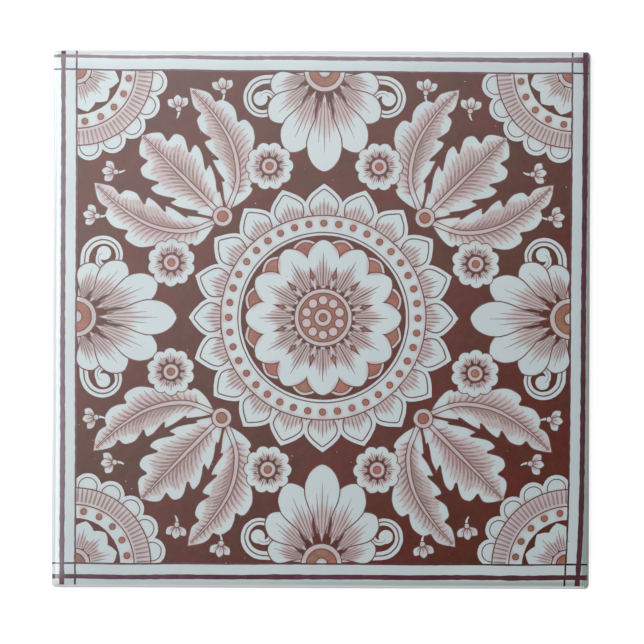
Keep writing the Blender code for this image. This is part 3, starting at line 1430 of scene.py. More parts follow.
@dataclass
class WellKey:
    """The moulded key of the back: a grid of square wells, which the mortar grips."""

    per_side: int = 6
    mouth: float = 19.4
    pitch: float = 23.2
    depth: float = 1.2
    draft: float = math.radians(25.0)
    corner: float = 2.4
    lip: float = 0.35  # the radius of a well's mouth
    fillet: float = 0.5  # the radius round its floor
    side_steps: int = 5
    corner_steps: int = 6  # even, so that one point of each loop lies on the diagonal
    least_corner: float = 0.2
    lip_steps: Sizes = (0.0, 0.35, 0.7, 1.0)  # shares of the turn from the rib into the side
    fillet_steps: Sizes = (1.0, 0.66, 0.33, 0.0)  # and of that from the side into the floor
    floor_rings: Sizes = (0.72, 0.38)  # how large the floor's inner loops are

    @property
    def half(self) -> float:
        """Half the side of the block of cells."""
        return self.per_side * self.pitch / 2

    def loop(self, inwards: float) -> np.ndarray:
        """Draws a rounded square round the well.

        Args:
            inwards: how far it lies inside the well's mouth.

        Returns:
            Its points, in step with those of every other such loop.
        """
        radius = max(self.corner - inwards, self.least_corner)
        half = self.mouth / 2 - inwards
        turn = np.linspace(0.0, math.pi / 2, self.corner_steps + 1)
        corner = np.column_stack((np.cos(turn), np.sin(turn))) * radius + half - radius
        share = np.linspace(0.0, 1.0, self.side_steps + 1)[1:-1, None]
        side = corner[-1] * (1 - share) + corner[-1] * (-1, 1) * share
        return all_round(np.vstack((corner, side)))

    def rim(self) -> np.ndarray:
        """The cell's square outline, in step with the loops."""
        loop = self.loop(0.0)
        return loop / np.abs(loop).max(axis=1)[:, None] * self.pitch / 2

    def profile(self) -> list[Pair]:
        """Draws the section of a well's edge.

        Returns:
            How far inwards from the mouth, and how deep, its points lie, from the rib to the floor.
        """
        lean = math.pi / 2 - self.draft
        points = []
        for share in self.lip_steps:
            angle = lean * share
            inwards = self.lip * (math.sin(angle) - math.tan(lean / 2))
            points.append((inwards, self.lip * (1 - math.cos(angle))))
        start = points[-1]
        low = self.depth - self.fillet * (1 - math.cos(lean))
        across = start[0] + (low - start[1]) * math.tan(self.draft)
        for share in self.fillet_steps:
            angle = lean * share
            inwards = across + self.fillet * (math.sin(lean) - math.sin(angle))
            points.append((inwards, self.depth - self.fillet * (1 - math.cos(angle))))
        return points

    def cell(self) -> Mesh:
        """Makes one cell of the key.

        Returns:
            Its mesh, which faces down.
        """
        rings = [np.column_stack((self.rim(), np.zeros(len(self.rim()))))]
        for inwards, depth in self.profile():
            loop = self.loop(inwards)
            rings.append(np.column_stack((loop, np.full(len(loop), depth))))
        floor = rings[-1]
        rings += [floor * (share, share, 1.0) for share in self.floor_rings]
        points = np.vstack((*rings, [(0.0, 0.0, self.depth)])) * MM
        rows = np.arange(len(points) - 1).reshape(len(rings), -1)
        faces = [quad for above, below in zip(rows, rows[1:]) for quad in strip(above, below)]
        last = rows[-1]
        faces += np.column_stack((last, np.full(len(last), len(points) - 1), np.roll(last, -1))).tolist()
        mesh = bpy.data.meshes.new("well_cell")
        mesh.from_pydata(points.tolist(), [], faces)
        return mesh

    def border(self) -> Outline:
        """Draws the outline of the block of cells.

        Returns:
            Every point that the outermost cells have on it.
        """
        rim = self.rim()
        along = np.unique(rim[np.abs(rim[:, 1] - self.pitch / 2) < 1e-6, 0].round(6))
        places = (np.arange(self.per_side) - (self.per_side - 1) / 2) * self.pitch
        line = np.unique((places[:, None] + along).round(5).ravel())
        return all_round(np.column_stack((line[::-1], np.full(len(line), self.half)))[:-1])

    def build(self, material: Material) -> Mesh:
        """The whole key as one mesh."""
        return WellGrid().run(self.cell(), material, {"Wells": self.per_side, "Pitch": self.pitch * MM})


@dataclass
class Surface:
    """Points in metres and the faces between them, gathered stretch by stretch."""

    points: list[np.ndarray] = field(default_factory=list)
    faces: list[list[int]] = field(default_factory=list)

    def add(self, points: np.ndarray, faces: list[list[int]]) -> np.ndarray:
        """Adds a stretch.

        Args:
            points: its points.
            faces: its faces, by the numbers of its own points.

        Returns:
            The numbers that its points have now.
        """
        first = sum(len(stretch) for stretch in self.points)
        self.points.append(points)
        self.faces += [[number + first for number in face] for face in faces]
        return np.arange(first, first + len(points))


@dataclass
class TileBody:
    """The pressed, glazed and fired tile under its print."""

    slab: Slab = field(default_factory=Slab)
    key: WellKey = field(default_factory=WellKey)
    fine_lines: Sizes = (
        *(0.0, 0.02, 0.07, 0.15, 0.26, 0.4, 0.56, 0.74, 0.95),
        *(1.3, 1.7, 2.2, 2.8, 3.5, 4.3),
    )  # how far from each edge the grid's closer lines stand
    step: float = 0.9  # between the grid's lines on the flat of the face
    flat_edge: float = 0.2  # the closer lines beyond this crease the print as well
    side_heights: Sizes = (5.9, 5.2, 4.4, 3.5, 2.6, 1.7, 0.9)
    back_edge: Pair = (0.15, 0.85)  # where the chamfer turns, as shares of its height and width
    back_step: float = 0.1  # of flat back inside the chamfer
    merge: float = 2e-6
    sharp: float = math.radians(38.0)

    def lines(self) -> np.ndarray:
        """Places the lines of the face's grid.

        Returns:
            Where they stand across the tile.
        """
        inner = self.slab.half - self.fine_lines[-1]
        flat = np.linspace(-inner, inner, int(2 * inner / self.step) + 1)
        edge = self.slab.half - np.array(self.fine_lines[:-1])
        return np.concatenate((-edge, flat, edge[::-1]))

    def creases(self) -> list[np.ndarray]:
        """Lists the grid's lines where the face falls away.

        Returns:
            Each as a pair of ends.
        """
        half = self.slab.half
        across = [
            np.array(((-half, side * (half - inwards)), (half, side * (half - inwards))))
            for inwards in self.fine_lines
            if inwards > self.flat_edge
            for side in (-1, 1)
        ]
        return across + [line[:, ::-1] for line in across]

    def plan(self) -> np.ndarray:
        """Places the points of the face's grid, whose corners are rounded.

        Returns:
            (n, 2) points of the plan, row by row.
        """
        lines = self.lines()
        square = np.stack(np.meshgrid(lines, lines, indexing="xy"), axis=2).reshape(-1, 2)
        middle = self.slab.half - self.slab.corner
        local = ((np.abs(square) - middle) / self.slab.corner).clip(0.0)
        rounded = local * np.sqrt(1.0 - local[:, ::-1] ** 2 / 2.0)
        in_corner = (local > 0.0).all(axis=1)[:, None]
        return np.where(in_corner, np.sign(square) * (middle + rounded * self.slab.corner), square)

    def face(self) -> Surface:
        """Makes the face of the tile.

        Returns:
            A grid of quads.
        """
        count = len(self.lines())
        grid = np.arange(count * count).reshape(count, count)
        quads = np.stack((grid[:-1, :-1], grid[:-1, 1:], grid[1:, 1:], grid[1:, :-1]), axis=2)
        return Surface([self.slab.on_glaze(self.plan())], quads.reshape(-1, 4).tolist())

    def border(self) -> np.ndarray:
        """Finds the outline of the face's grid.

        Returns:
            The numbers of its points, anticlockwise.
        """
        count = len(self.lines())
        first = np.arange(count - 1)
        right, top = first * count + count - 1, count * count - 1 - first
        return np.concatenate((first, right, top, (count - 1 - first) * count))

    def add_sides(self, surface: Surface) -> Outline:
        """Adds the sides, row by row, and the chamfer under them.

        Args:
            surface: the face.

        Returns:
            The outline of the back.
        """
        above = self.border()
        edge = surface.points[0][above, :2]
        outwards = edge - self.inner_edge(edge)
        outwards /= np.linalg.norm(outwards, axis=1)[:, None]
        chamfer = self.slab.chamfer
        low, wide = self.back_edge
        rows = [(height, 0.0) for height in self.side_heights]
        rows += [(chamfer, 0.0), (low * chamfer, wide * chamfer), (0.0, chamfer + self.back_step)]
        for height, inwards in rows:
            row = np.column_stack((edge - outwards * inwards * MM, np.full(len(edge), height * MM)))
            below = surface.add(row, [])
            surface.faces += strip(above, below)
            above = below
        return row[:, :2] / MM

    def build(self, glaze: Material, biscuit: Material) -> bpy.types.Object:
        """Builds the tile.

        Args:
            glaze: the finish of its face and sides.
            biscuit: the finish of its bare back.

        Returns:
            The piece.
        """
        surface = self.face()
        back = self.add_sides(surface)
        glazed = len(surface.faces)
        key = self.key.build(biscuit)
        surface.add(places_of(key), [list(face.vertices) for face in key.polygons])
        bpy.data.meshes.remove(key)
        surface.add(*self.back_ring(back))
        mesh = bpy.data.meshes.new("tile_body")
        mesh.from_pydata(np.vstack(surface.points).tolist(), [], surface.faces)
        mesh.materials.append(glaze)
        mesh.materials.append(biscuit)
        mesh.polygons.foreach_set("material_index", np.arange(len(surface.faces)) >= glazed)
        shape = bmesh.new()
        shape.from_mesh(mesh)
        bmesh.ops.remove_doubles(shape, verts=shape.verts, dist=self.merge)
        bmesh.ops.recalc_face_normals(shape, faces=shape.faces)
        shape.to_mesh(mesh)
        shape.free()
        mesh.shade_smooth()
        mesh.set_sharp_from_angle(angle=self.sharp)
        return dressed_piece("tile_body", mesh)

    def inner_edge(self, edge: np.ndarray) -> np.ndarray:
        """The points of the rounded square's inner frame that the edge's points turn round."""
        middle = (self.slab.half - self.slab.corner) * MM
        return edge.clip(-middle, middle)

    def back_ring(self, outline: np.ndarray) -> tuple[np.ndarray, list[list[int]]]:
        """Fills the flat rim of the back, between the tile's outline and the block of cells.

        Args:
            outline: the lowest row of the sides.

        Returns:
            Its points in metres, and its triangles.
        """
        points, triangles, owners = cut_apart([outline, self.key.border()], [])
        rim = triangles[[list(owner) == [0] for owner in owners]]
        return np.column_stack((points, np.zeros(len(points)))) * MM, rim.tolist()

    def mark_ink(self, mesh: Mesh, made: Arrangement) -> None:
        """Gives the tile's points their share of nearby ink, as an attribute that the glaze reads.

        Args:
            mesh: the tile's mesh.
            made: the arranged print.
        """
        places = places_of(mesh) / MM
        share = InkShare().at(made, places[:, :2])
        share[places[:, 2] < self.slab.glaze_top - self.slab.roll] = 0.0
        set_attribute(mesh, INK_SHARE, share)


class FilmMaker(GeometryTool):
    """Makes a sheet of triangles a closed film of even thickness."""

    JOIN = 1e-8  # metres between points that become one

    def __init__(self) -> None:
        """Builds the geometry-node tree."""
        super().__init__("ink_film", Thickness="Float")
        tree, sheet = self.tree, self.given["Geometry"]
        upwards = add_node(tree, "ShaderNodeCombineXYZ", {"Z": self.given["Thickness"]}).outputs[0]
        inputs = {"Mesh": sheet, "Offset": upwards, "Offset Scale": 1.0, "Individual": False}
        raised = add_node(tree, "GeometryNodeExtrudeMesh", inputs).outputs["Mesh"]
        underside = add_node(tree, "GeometryNodeFlipFaces", {"Mesh": sheet}).outputs[0]
        both = tree.nodes.new("GeometryNodeJoinGeometry")
        for part in (raised, underside):
            tree.links.new(part, both.inputs[0])
        inputs = {"Geometry": both.outputs[0], "Distance": self.JOIN}
        self.end(add_node(tree, "GeometryNodeMergeByDistance", inputs).outputs[0])


@dataclass
class InkFilms:
    """The print's inks as thin closed films on the glaze."""

    slab: Slab
    sunk: float = 0.010  # how far a film's underside lies under the glaze
    proud: float = 0.013  # how far its face stands over it
    maker: FilmMaker = field(default_factory=FilmMaker)
    sharp: float = math.radians(30.0)

    def build(self, ink: Ink, made: Arrangement, material: Material) -> bpy.types.Object:
        """Builds one ink's film.

        Args:
            ink: which ink.
            made: the arranged print.
            material: the ink's finish.

        Returns:
            The piece.
        """
        triangles = made.of(ink)
        used, renumbered = np.unique(triangles, return_inverse=True)
        points = self.slab.on_glaze(made.points[used], -self.sunk)
        sheet = bpy.data.meshes.new("sheet")
        sheet.from_pydata(points.tolist(), [], renumbered.reshape(-1, 3).tolist())
        mesh = self.maker.run(sheet, material, {"Thickness": (self.sunk + self.proud) * MM})
        mesh.shade_smooth()
        mesh.set_sharp_from_angle(angle=self.sharp)
        return dressed_piece(ink.value, mesh)


@dataclass(frozen=True)
class InkShare:
    """How much of the face round each point is finely engraved, as blurred by the ink's spreading."""

    cell: float = 0.4
    spread: float = 0.8
    half: float = 76.5

    def at(self, made: Arrangement, plan: np.ndarray) -> np.ndarray:
        """The share of ink round points of the plan.

        Args:
            made: the arranged print.
            plan: (n, 2) points.

        Returns:
            (n,) shares from 0 to 1.
        """
        count = int(2 * self.half / self.cell)
        places = (np.arange(count) + 0.5) * self.cell - self.half
        flat = [Vector((x, y, 0.0)) for x, y in made.points]
        surface = BVHTree.FromPolygons(flat, made.triangles.tolist())
        down = Vector((0.0, 0.0, -1.0))
        hits = [surface.ray_cast(Vector((x, y, 1.0)), down)[2] for y in places for x in places]
        fine = [list(Ink).index(ink) for ink in (Ink.LINE, Ink.SHADE, Ink.FAINT, Ink.BLUSH, Ink.TINT)]
        inked = np.isin(made.inks, fine)
        share = np.array([hit is not None and inked[hit] for hit in hits], float).reshape(count, count)
        reach = int(3 * self.spread / self.cell)
        weights = np.exp(-0.5 * (np.arange(-reach, reach + 1) * self.cell / self.spread) ** 2)
        weights /= weights.sum()
        for axis in (0, 1):
            share = np.apply_along_axis(np.convolve, axis, share, weights, "same")
        column, row = ((plan + self.half) / self.cell).astype(int).clip(0, count - 1).T
        return share[row, column]


# Finishes


def shader_group(name: str, inputs: dict[str, object], outputs: dict[str, str]) -> tuple[Tree, dict]:
    """Starts a shader node group.

    Args:
        name: the group's name.
        inputs: each input's default value, by its name: a number, a colour, or None for a vector.
        outputs: each output's kind, by its name.

    Returns:
        The group, and its inputs as sockets to link from.
    """
    group = bpy.data.node_groups.new(name, "ShaderNodeTree")
    for label, kind in outputs.items():
        group.interface.new_socket(label, in_out="OUTPUT", socket_type=f"NodeSocket{kind}")
    for label, value in inputs.items():
        kind = "Vector" if value is None else "Color" if isinstance(value, tuple) else "Float"
        socket = group.interface.new_socket(label, in_out="INPUT", socket_type=f"NodeSocket{kind}")
        if value is not None:
            socket.default_value = (*value, 1.0) if isinstance(value, tuple) else value
    entry = group.nodes.new("NodeGroupInput")
    return group, {label: entry.outputs[label] for label in inputs}


def noise(tree: Tree, place: Socket, size: float, detail: float = 2.0, rough: float = 0.5) -> Socket:
    """Adds soft noise whose features are as large as the size, in metres."""
    inputs = {"Vector": place, "Scale": 0.5 / size, "Detail": detail, "Roughness": rough}
    return add_node(tree, "ShaderNodeTexNoise", inputs).outputs[0]


def ramp(tree: Tree, value: Socket, low: object, high: object) -> Socket:
    """Adds a smooth step that goes from 0 at the low value to 1 at the high one."""
    inputs = {"Value": value, "From Min": low, "From Max": high}
    return add_node(tree, "ShaderNodeMapRange", inputs, interpolation_type="SMOOTHSTEP").outputs[0]


def blended(tree: Tree, share: object, first: object, second: object, how: str = "MIX") -> Socket:
    """Adds a mix of two colours and returns its output."""
    inputs = {0: share, 6: first, 7: second}
    return add_node(tree, "ShaderNodeMix", inputs, data_type="RGBA", blend_type=how).outputs[2]


def component(tree: Tree, vector: Socket, axis: int) -> Socket:
    """Adds one component of a vector: 0 is x, 1 y and 2 z."""
    return add_node(tree, "ShaderNodeSeparateXYZ", {0: vector}).outputs[axis]


def cells(tree: Tree, place: Socket, scale: float) -> Socket:
    """Adds the distance to the nearest of points that are strewn, more densely the larger the scale."""
    return add_node(tree, "ShaderNodeTexVoronoi", {"Vector": place, "Scale": scale}).outputs[0]


def place_on_tile(tree: Tree) -> Socket:
    """Adds the piece's own coordinates, in metres."""
    return tree.nodes.new("ShaderNodeTexCoord").outputs["Object"]


class Effect(Enum):
    """The shader node groups that several finishes share."""

    WAVES = "glaze_waves"
    MOTTLE = "ink_mottle"
    CRUMB = "pressed_crumb"
    GRIME = "settled_grime"


class Effects:
    """Builds each shared shader node group once."""

    prick_depth = 0.02  # of the glaze's pinpricks
    browner: Colour = (0.91, 1.09, 0.98)  # the two ways in which ink strays from its colour
    purpler: Colour = (1.09, 0.92, 1.04)

    def __init__(self) -> None:
        """Builds the groups."""
        self.groups = {
            Effect.WAVES: self.waves(),
            Effect.MOTTLE: self.mottle(),
            Effect.CRUMB: self.crumb(),
            Effect.GRIME: self.grime(),
        }

    def waves(self) -> Tree:
        """Builds the height of the molten glaze: long swells, a fine peel and the odd pinprick.

        Returns:
            The group.
        """
        inputs = {"Place": None, "Swell": 0.030, "Peel": 0.008}
        tree, given = shader_group(Effect.WAVES.value, inputs, {"Height": "Float"})
        swell = product(tree, noise(tree, given["Place"], size=0.009, detail=1.0), given["Swell"])
        peel = product(tree, noise(tree, given["Place"], size=0.0012, detail=1.0), given["Peel"])
        pricks = ramp(tree, cells(tree, given["Place"], scale=190.0), low=0.035, high=0.015)
        depth = product(tree, pricks, -self.prick_depth)
        height = calculate(tree, "ADD", calculate(tree, "ADD", swell, peel), depth)
        add_node(tree, "NodeGroupOutput", {"Height": height})
        return tree

    def mottle(self) -> Tree:
        """Builds how unevenly engraved ink lies and burns: broad tones, small clouds and a fine grain.

        Returns:
            The group.
        """
        inputs = {"Place": None, "Colour": (0.1, 0.05, 0.04), "Broad": 0.2, "Clouds": 0.3, "Grain": 0.3}
        tree, given = shader_group(Effect.MOTTLE.value, {**inputs, "Tinge": 1.0}, {"Colour": "Color"})
        tone = 1.0
        for label, size, detail in (("Broad", 0.02, 1.0), ("Clouds", 0.0022, 3.0), ("Grain", 0.00032, 2.0)):
            centred = calculate(tree, "SUBTRACT", noise(tree, given["Place"], size, detail), 0.5)
            tone = calculate(tree, "ADD", product(tree, centred, given[label]), tone)
        warmth = ramp(tree, noise(tree, given["Place"], size=0.006), low=0.35, high=0.65)
        tinge = blended(tree, warmth, self.browner, self.purpler)
        tinge = blended(tree, given["Tinge"], (1.0, 1.0, 1.0), tinge)
        tinged = blended(tree, 1.0, given["Colour"], tinge, "MULTIPLY")
        inputs = {0: tinged, "Scale": tone}
        scaled = add_node(tree, "ShaderNodeVectorMath", inputs, operation="SCALE").outputs[0]
        add_node(tree, "NodeGroupOutput", {"Colour": scaled})
        return tree

    def crumb(self) -> Tree:
        """Builds the pressed clay dust: its height and a mask of its darker grains.

        Returns:
            The group.
        """
        outputs = {"Height": "Float", "Grains": "Float"}
        tree, given = shader_group(Effect.CRUMB.value, {"Place": None, "Coarseness": 0.04}, outputs)
        fine = noise(tree, given["Place"], size=0.00045, detail=4.0, rough=0.6)
        height = product(tree, fine, given["Coarseness"])
        grains = ramp(tree, cells(tree, given["Place"], scale=700.0), low=0.22, high=0.10)
        add_node(tree, "NodeGroupOutput", {"Height": height, "Grains": grains})
        return tree

    def grime(self) -> Tree:
        """Builds a mask of settled dirt, in patches.

        Returns:
            The group.
        """
        inputs = {"Place": None, "Amount": 0.5, "Patch Size": 0.02}
        tree, given = shader_group(Effect.GRIME.value, inputs, {"Mask": "Float"})
        scale = calculate(tree, "DIVIDE", 0.5, given["Patch Size"])
        inputs = {"Vector": given["Place"], "Scale": scale, "Detail": 5.0, "Roughness": 0.62}
        patches = add_node(tree, "ShaderNodeTexNoise", inputs).outputs[0]
        patches = ramp(tree, patches, low=0.42, high=0.72)
        add_node(tree, "NodeGroupOutput", {"Mask": product(tree, patches, given["Amount"])})
        return tree

    def use(self, tree: Tree, effect: Effect, inputs: dict[str, object]) -> bpy.types.Node:
        """Places a group in a material.

        Args:
            tree: the material's shader tree.
            effect: which group.
            inputs: what feeds its inputs, by their names.

        Returns:
            The group's node.
        """
        node = tree.nodes.new("ShaderNodeGroup")
        node.node_tree = self.groups[effect]
        feed(tree, node, inputs)
        return node


def principled_material(tree: Tree, colour: Socket, roughness: Socket | float, height: Socket) -> None:
    """Joins what a finish has made to its material's Principled shader.

    Args:
        tree: the material's shader tree.
        colour: its base colour.
        roughness: its roughness.
        height: how far its surface stands out, in millimetres.
    """
    bump = add_node(tree, "ShaderNodeBump", {"Strength": 1.0, "Distance": MM, "Height": height})
    inputs = {"Base Color": colour, "Roughness": roughness, "Normal": bump.outputs[0]}
    feed(tree, tree.nodes["Principled BSDF"], inputs)


def new_material(name: str) -> tuple[Material, Tree]:
    """Starts a material with a Principled shader.

    Args:
        name: the material's name.

    Returns:
        The material and its shader tree.
    """
    material = bpy.data.materials.new(name)
    material.use_nodes = True
    return material, material.node_tree


@dataclass(frozen=True)
class PrintedInk:
    """An engraved ink, seen through the glaze over it."""

    ink: Ink
    colour: Colour
    broad: float = 0.25
    clouds: float = 0.5
    grain: float = 0.5
    tinge: float = 1.0  # how far it strays to brown and to purple
    faded: Colour | None = None  # towards the upper left, where less of it took
    fading: Pair = (0.13, -0.03)  # x - y in metres, where that begins and where it is full
    roughness: float = 0.1

    def material(self, effects: Effects) -> Material:
        """Builds the ink's material.

        Args:
            effects: the shared node groups.

        Returns:
            The material.
        """
        material, tree = new_material(self.ink.value)
        place = place_on_tile(tree)
        amounts = {"Broad": self.broad, "Clouds": self.clouds, "Grain": self.grain, "Tinge": self.tinge}
        colour = self.colour
        if self.faded:
            x, y, _ = add_node(tree, "ShaderNodeSeparateXYZ", {0: place}).outputs
            share = ramp(tree, calculate(tree, "SUBTRACT", x, y), *self.fading)
            colour = blended(tree, share, self.colour, self.faded)
        mottled = effects.use(tree, Effect.MOTTLE, {"Place": place, "Colour": colour, **amounts})
        height = effects.use(tree, Effect.WAVES, {"Place": place}).outputs[0]
        principled_material(tree, mottled.outputs[0], self.roughness, height)
        return material


CLAY: Colour = (0.56, 0.47, 0.36)
CLAY_GRAINS: Colour = (0.36, 0.29, 0.21)


@dataclass(frozen=True)
class GlazedWhite:
    """The bluish white glaze, which stops raggedly part of the way down the sides."""

    white: Colour = (0.586, 0.656, 0.668)
    clouded: Colour = (0.93, 0.95, 0.97)  # of the white, in soft clouds
    stained: Colour = (0.55, 0.45, 0.455)  # between engraved strokes
    stain: float = 0.95
    stain_shares: Pair = (0.12, 0.42)  # of ink near by, where the stain begins and is full
    roughness: float = 0.1
    bare_roughness: float = 0.75  # how much rougher the clay is
    glaze_line: float = 0.0042  # where the glaze ends on the sides
    line_blur: float = 0.00035
    line_waves: float = 0.006
    painted_edge_shade: Colour = (0.65, 0.67, 0.62)  # painted shade, which darkens the white along the right and bottom edges
    painted_shade_strip: Pair = (0.0026, 0.0017)  # from the edge, where the painted shade begins and is full
    painted_rim_highlight: Colour = (0.72, 0.745, 0.755)  # a painted highlight on the rolled glaze, round the other edges
    highlight_strip: Pair = (0.00105, 0.00075)
    highlight_cutoff: Pair = (0.0011, 0.0016)  # at the right edge, which has no painted highlight
    edge: float = 0.0762

    def edging(self, tree: Tree, place: Socket, glazed: Socket) -> Socket:
        """Adds painted shade on the right and lower edges, and a painted highlight on the rolled glaze
        elsewhere.

        Args:
            tree: the material's shader tree.
            place: where on the tile.
            glazed: the colour inside the edges.

        Returns:
            The colour.
        """
        x, y, _ = add_node(tree, "ShaderNodeSeparateXYZ", {0: place}).outputs
        rightmost = calculate(tree, "MAXIMUM", x, product(tree, y, -1.0))
        # Painted shade: the white darkens along the right and bottom edges, more so towards the right
        shade_ramp = ramp(tree, rightmost, *(self.edge - inwards for inwards in self.painted_shade_strip))
        shade_share = product(tree, shade_ramp, ramp(tree, x, low=-0.09, high=0.09))
        glazed = blended(tree, shade_share, glazed, self.painted_edge_shade, "MULTIPLY")
        # Painted highlight: the rolled glaze round the left, top and bottom edges is lighter; thin below is
        # its share
        farthest = calculate(tree, "MAXIMUM", *(calculate(tree, "ABSOLUTE", part) for part in (x, y)))
        rim = ramp(tree, farthest, *(self.edge - inwards for inwards in self.highlight_strip))
        left_of_edge = ramp(tree, x, *(self.edge - inwards for inwards in self.highlight_cutoff))
        thin = product(tree, rim, left_of_edge)
        return blended(tree, thin, glazed, self.painted_rim_highlight)

    def material(self, effects: Effects) -> Material:
        """Builds the glaze's material.

        Args:
            effects: the shared node groups.

        Returns:
            The material.
        """
        material, tree = new_material("white_glaze")
        place = place_on_tile(tree)
        near = add_node(tree, "ShaderNodeAttribute", attribute_name=INK_SHARE).outputs["Fac"]
        stain = product(tree, ramp(tree, near, *self.stain_shares), self.stain)
        glazed = blended(tree, stain, self.white, self.stained)
        cloud = ramp(tree, noise(tree, place, size=0.012), low=0.3, high=0.7)
        glazed = blended(tree, cloud, glazed, self.clouded, "MULTIPLY")
        # Painted shade and a painted highlight along the edges
        glazed = self.edging(tree, place, glazed)
        rag = calculate(tree, "SUBTRACT", noise(tree, place, size=0.006, detail=3.0), 0.5)
        rag = product(tree, rag, self.line_waves)
        line = calculate(tree, "ADD", component(tree, place, 2), rag)
        bare = ramp(tree, line, self.glaze_line, self.glaze_line - self.line_blur)
        crumb = effects.use(tree, Effect.CRUMB, {"Place": place})
        clay = blended(tree, crumb.outputs["Grains"], CLAY, CLAY_GRAINS)
        colour = blended(tree, bare, glazed, clay)
        rough = calculate(tree, "MULTIPLY_ADD", bare, self.bare_roughness, self.roughness)
        waves = effects.use(tree, Effect.WAVES, {"Place": place}).outputs[0]
        height = calculate(tree, "ADD", waves, product(tree, crumb.outputs["Height"], bare))
        principled_material(tree, colour, rough, height)
        return material


@dataclass(frozen=True)
class Biscuit:
    """The bare fired clay of the back, with a little dirt in its wells."""

    toned: Colour = (0.86, 0.84, 0.80)  # of the clay, in broad patches
    dirt: Colour = (0.25, 0.21, 0.17)
    dirt_amount: float = 0.55
    dirt_shares: Pair = (0.6, 0.4)  # what the wells have more than the ribs, and the ribs
    well_depth: float = 0.0011
    coarseness: float = 0.09
    roughness: float = 0.85

    def material(self, effects: Effects) -> Material:
        """Builds the clay's material.

        Args:
            effects: the shared node groups.

        Returns:
            The material.
        """
        material, tree = new_material("cream_biscuit")
        place = place_on_tile(tree)
        crumb = effects.use(tree, Effect.CRUMB, {"Place": place, "Coarseness": self.coarseness})
        colour = blended(tree, crumb.outputs["Grains"], CLAY, CLAY_GRAINS)
        tone = ramp(tree, noise(tree, place, size=0.03, detail=3.0), low=0.3, high=0.7)
        colour = blended(tree, tone, colour, self.toned, "MULTIPLY")
        grime = effects.use(tree, Effect.GRIME, {"Place": place, "Amount": self.dirt_amount}).outputs[0]
        deep = ramp(tree, component(tree, place, 2), 0.0, self.well_depth)
        share = product(tree, grime, calculate(tree, "MULTIPLY_ADD", deep, *self.dirt_shares))
        colour = blended(tree, share, colour, self.dirt)
        principled_material(tree, colour, self.roughness, crumb.outputs["Height"])
        return material


# The studio


@dataclass(frozen=True)
class SkyPatch:
    """A soft-edged bright patch of the sky, along one component of the direction and across another."""

    spans: Sizes  # where it starts to brighten, is bright, starts to fade, is gone
    reach: Pair  # how far across it is bright, and where it is gone, on both sides
    strength: float

    def mask(self, tree: Tree, along: Socket, across: Socket) -> Socket:
        """Adds the patch.

        Args:
            tree: the world's shader tree.
            along: the component that its spans are on.
            across: the component that its reach is on.

        Returns:
            A mask from 0 to 1.
        """
        risen = ramp(tree, along, self.spans[0], self.spans[1])
        unset = ramp(tree, along, self.spans[3], self.spans[2])
        narrow = ramp(tree, calculate(tree, "ABSOLUTE", across), self.reach[1], self.reach[0])
        return product(tree, product(tree, risen, unset), narrow)


